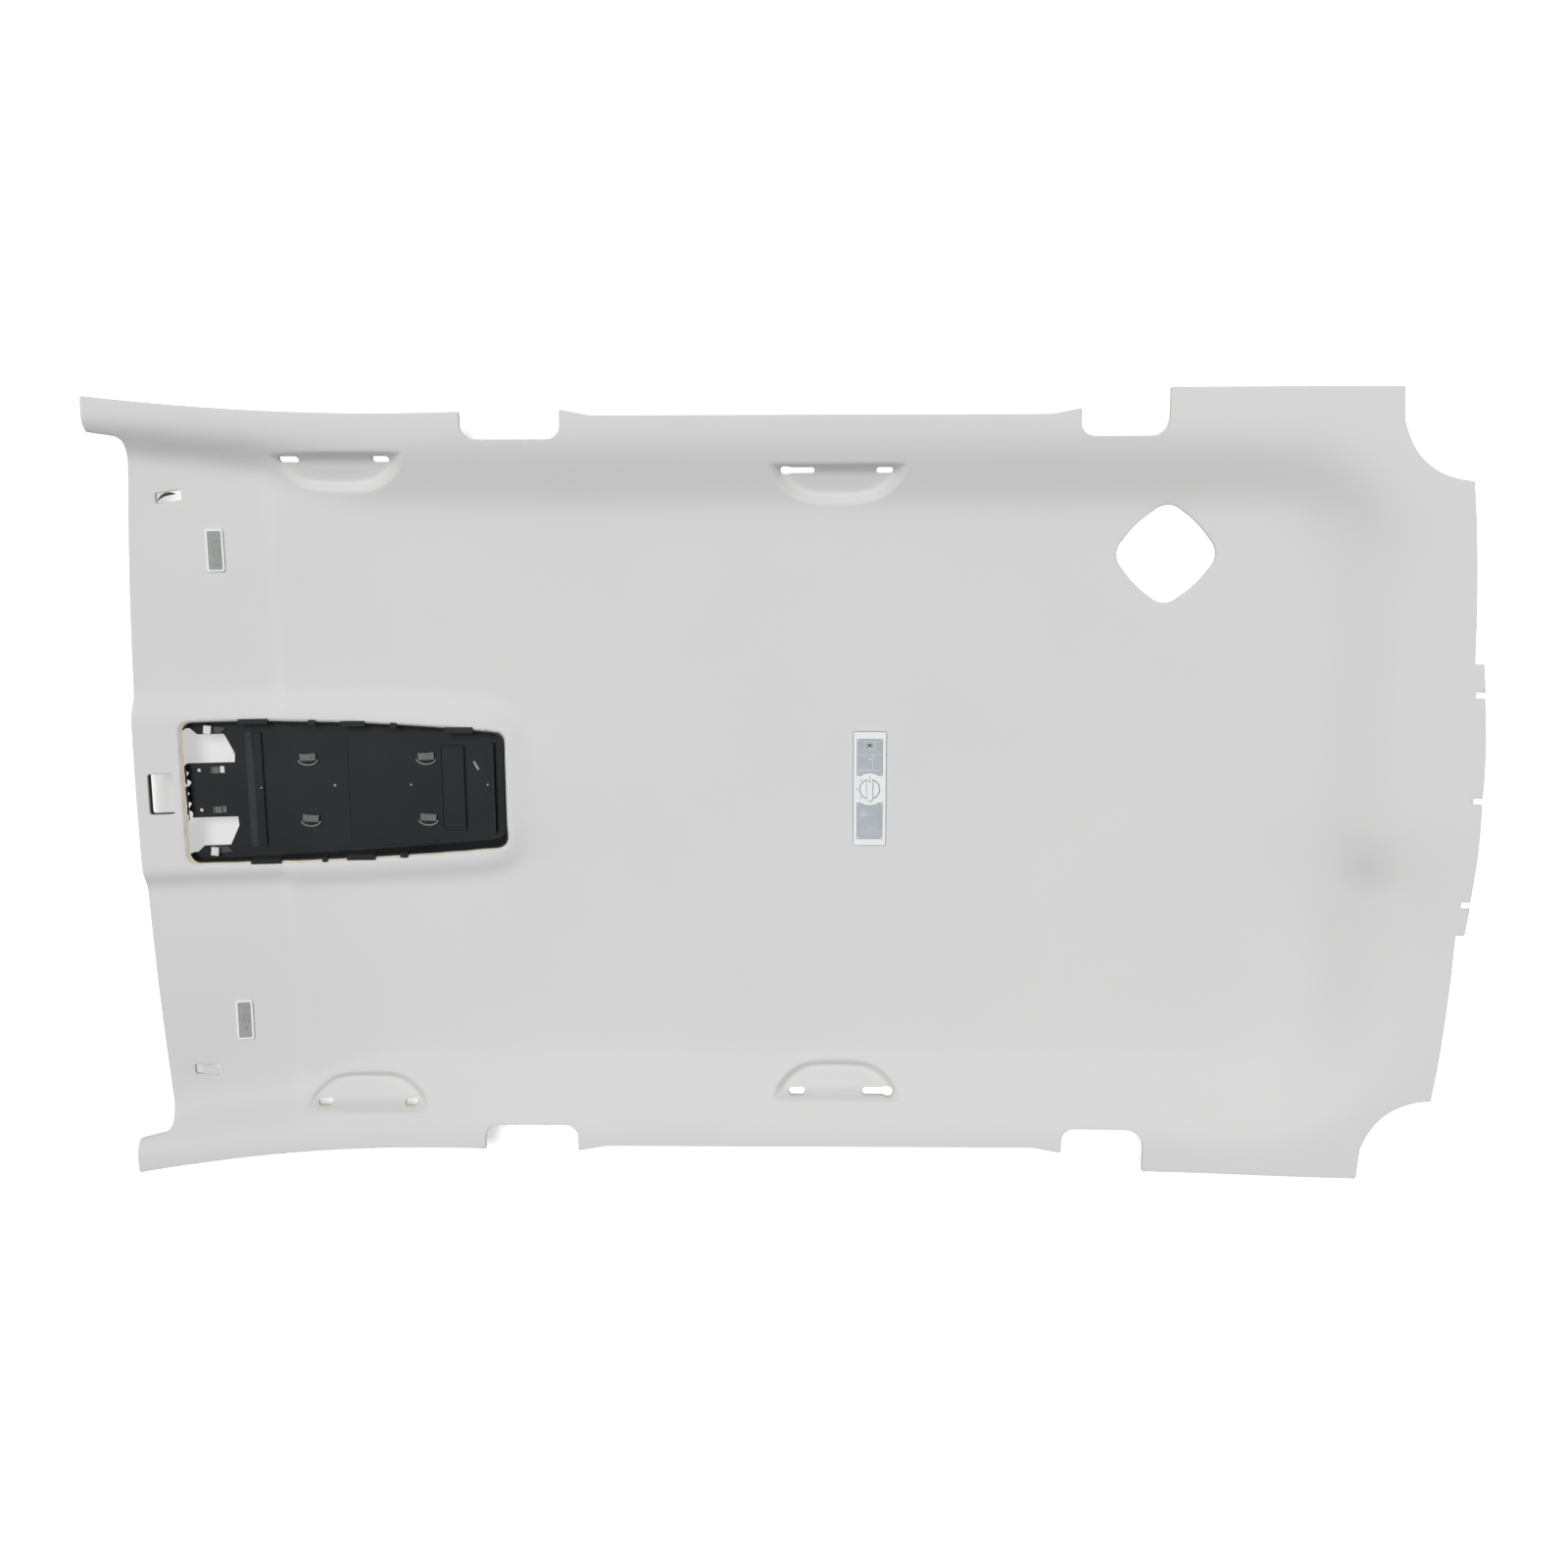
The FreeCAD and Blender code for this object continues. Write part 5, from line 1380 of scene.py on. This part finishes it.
# A dark ring in the gap round the knob: painted shade.
knob_gap_circles = (circle(0.0, 0.0, 17.0, 72), circle(0.0, 0.0, 16.0, 72))
knob_gap_shade = ring_form(*knob_gap_circles, lambda q: np.full(len(q), 5.06), 0.6)
fitting("dome_knob_gap_shade", at_lamp([knob_gap_shade]), mark_grey)

for side, hand in ((1, "left"), (-1, "right")):
    forms = []
    for x, y, w, h in vanity_ribs:
        z = float(cabin_z(np.array([x]), np.array([side * y]))[0]) + 4.4
        forms.append(slab(rectangle(x, side * y, w, h), z - 1.4, z))
    fitting("vanity_lens_ribs_" + hand, forms, rim_grey)

# A dark band round the lamp's frame: painted shade in the gap.
gap_outline = box_loop(0.0, 0.0, dome_size[0] + 1.8, dome_size[1] + 1.8, 3.5, 4.0)
fitting("dome_shadow_gap", at_lamp([slab(gap_outline, -0.6, 0.5)]), mark_grey)


# %% [markdown]
# ## Construction nodes that stay
# The other nodes keep their meshes and get a material each.

# %% Materials on the construction nodes
replaced = ("headliner_panel", "console_frame", "console_locating_pegs", "console_plate_clips",
            "console_spring_clips", "visor_clip_left", "visor_clip_right", "dome_knob")
node_materials = {
    "sensor_window_frame": black, "dome_bezel": lamp_white, "dome_lens": lens, "dome_housing": housing,
    "dome_reflector": bright, "dome_switch_cup": housing, "dome_spring_clips": steel,
    "dome_bulb": bulb_glass, "dome_contacts": brass, "vanity_bezel": lamp_white,
    "vanity_lens": vanity_glass, "vanity_housing": housing, "vanity_bulb": bulb_glass,
    "vanity_contacts": brass, "spacer": foam,
}
for name, obj in nodes.items():
    if name in replaced:
        continue
    stem = max((k for k in node_materials if name.startswith(k)), key=len)
    obj.data.materials.clear()
    obj.data.materials.append(node_materials[stem])
print("construction nodes dressed:", len(nodes) - len(replaced))

# %% [markdown]
# ## Setting
# A white floor under soft daylight from above, a little from the left side of the car. Under the
# lining the floor glows brighter, painted light that lifts its shadow in the holes, and under the
# console windows it is darker, painted shade.

# %% Floor
floor_material = bpy.data.materials.new("White floor")
floor_material.use_nodes = True
nt = floor_material.node_tree
shader = nt.nodes["Principled BSDF"]
shader.inputs["Roughness"].default_value = 0.9
shader.inputs["Specular IOR Level"].default_value = 0.1
path = add(nt, "ShaderNodeLightPath", (-600, 300))
glow = add(nt, "ShaderNodeMath", (-300, 300), operation="MULTIPLY")
floor_coords = add(nt, "ShaderNodeTexCoord", (-1500, 0)).outputs["Object"]
# The open floor glows evenly white. Under the lining a stronger glow is painted light over the shadow; under
# the console windows a weaker glow and a darker colour are painted shade.
open_glow = 0.42
painted_light_glow = 0.92
painted_shade_glow = 0.50


def rectangle_mask(tree, source, centre, half, edge_share, y):
    """1 inside a rectangle of the plan, falling to 0 at its sides over a share of its half size."""
    scaled = add(tree, "ShaderNodeMapping", (-1300, y))
    scaled.inputs["Scale"].default_value = (1.0 / (half[0] * MM), 1.0 / (half[1] * MM), 0.0)
    scaled.inputs["Location"].default_value = (-centre[0] / half[0], -centre[1] / half[1], 0.0)
    split = add(tree, "ShaderNodeSeparateXYZ", (-1100, y))
    tree.links.new(source, scaled.inputs["Vector"])
    tree.links.new(scaled.outputs["Vector"], split.inputs["Vector"])
    both = add(tree, "ShaderNodeMath", (-500, y), operation="MULTIPLY")
    for k, axis in enumerate("XY"):
        away = add(tree, "ShaderNodeMath", (-900, y - 150 * k), operation="ABSOLUTE")
        inside = add(tree, "ShaderNodeMapRange", (-700, y - 150 * k))
        inside.inputs["From Min"].default_value = 1.0
        inside.inputs["From Max"].default_value = 1.0 - edge_share
        tree.links.new(split.outputs[axis], away.inputs[0])
        tree.links.new(away.outputs[0], inside.inputs["Value"])
        tree.links.new(inside.outputs["Result"], both.inputs[k])
    return both.outputs[0]


# Where the painted light and the painted shade lie on the floor.
painted_light_mask = rectangle_mask(nt, floor_coords, (0.0, 0.0), (1010.0, 555.0), 1.0 / 24.0, 0)
painted_shade_mask = rectangle_mask(nt, floor_coords, (-955.0, 0.0), (120.0, 190.0), 1.0 / 5.0, -400)
painted_light_share = add(nt, "ShaderNodeMath", (-300, -300), operation="SUBTRACT", use_clamp=True)
nt.links.new(painted_light_mask, painted_light_share.inputs[0])
nt.links.new(painted_shade_mask, painted_light_share.inputs[1])
# Darker floor colour under the console windows: painted shade.
painted_shade_tint = add(nt, "ShaderNodeMix", (-100, -200), data_type="RGBA")
painted_shade_tint.inputs["A"].default_value = (0.9, 0.9, 0.9, 1.0)
painted_shade_tint.inputs["B"].default_value = (0.30, 0.305, 0.295, 1.0)
nt.links.new(painted_shade_mask, painted_shade_tint.inputs["Factor"])
nt.links.new(painted_shade_tint.outputs["Result"], shader.inputs["Base Color"])
level = add(nt, "ShaderNodeMapRange", (-500, 500))
level.inputs["To Min"].default_value = open_glow
level.inputs["To Max"].default_value = painted_light_glow
nt.links.new(painted_light_share.outputs[0], level.inputs["Value"])
glow_with_painted_shade = add(nt, "ShaderNodeMath", (-300, 700), operation="MULTIPLY_ADD")
glow_with_painted_shade.inputs[1].default_value = painted_shade_glow - open_glow
nt.links.new(painted_shade_mask, glow_with_painted_shade.inputs[0])
nt.links.new(level.outputs["Result"], glow_with_painted_shade.inputs[2])
nt.links.new(path.outputs["Is Camera Ray"], glow.inputs[0])
nt.links.new(glow_with_painted_shade.outputs[0], glow.inputs[1])
shader.inputs["Emission Color"].default_value = (1.0, 1.0, 1.0, 1.0)
nt.links.new(glow.outputs[0], shader.inputs["Emission Strength"])
size = 30000.0
floor_corners = [(-size, -size, 0), (size, -size, 0), (size, size, 0), (-size, size, 0)]
floor = new_object("white_floor", floor_corners, [(0, 1, 2, 3)], [floor_material])

# %% [markdown]
# ## Light
# A white world and one soft sun.

# %% World and light
world = bpy.data.worlds.new("studio")
bpy.context.scene.world = world
world.use_nodes = True
background = world.node_tree.nodes["Background"]
background.inputs["Color"].default_value = (1.0, 1.0, 1.0, 1.0)
background.inputs["Strength"].default_value = 0.33
key_data = bpy.data.lights.new("key_light", "SUN")
key_data.energy = 2.45
key_data.angle = math.radians(24.0)
key_light = bpy.data.objects.new("key_light", key_data)
bpy.context.scene.collection.objects.link(key_light)
key_direction = Vector((-0.13, 0.36, 1.0))
key_light.rotation_euler = key_direction.to_track_quat("Z", "Y").to_euler()
key_light.location = key_direction * 3.0

# %% [markdown]
# ## Camera
# The photo's camera, fitted to points of the outline.

# %% Camera
camera_height = 3.0
camera_tilt = math.radians(11.44)
camera_pan = math.radians(-1.06)
camera_roll = math.radians(0.04)
camera_target = Vector((-0.0148, 0.0026, 0.0))
focal_over_width = 1864.7 / 1600.0
back = Vector((0.0, math.sin(camera_tilt), math.cos(camera_tilt)))
up = Vector((0.0, math.cos(camera_tilt), -math.sin(camera_tilt)))
right = Vector((1.0, 0.0, 0.0))
right_panned = right * math.cos(camera_pan) + back * math.sin(camera_pan)
back_panned = back * math.cos(camera_pan) - right * math.sin(camera_pan)
right_rolled = right_panned * math.cos(camera_roll) + up * math.sin(camera_roll)
up_rolled = up * math.cos(camera_roll) - right_panned * math.sin(camera_roll)
camera_data = bpy.data.cameras.new("Camera")
camera_data.sensor_width = 36.0
camera_data.lens = 36.0 * focal_over_width
camera = bpy.data.objects.new("Camera", camera_data)
bpy.context.scene.collection.objects.link(camera)
axes = Matrix((right_rolled, up_rolled, back_panned)).transposed().to_4x4()
camera.matrix_world = Matrix.Translation(camera_target + back_panned * camera_height) @ axes
bpy.context.scene.camera = camera
bpy.context.scene.view_settings.view_transform = "Standard"
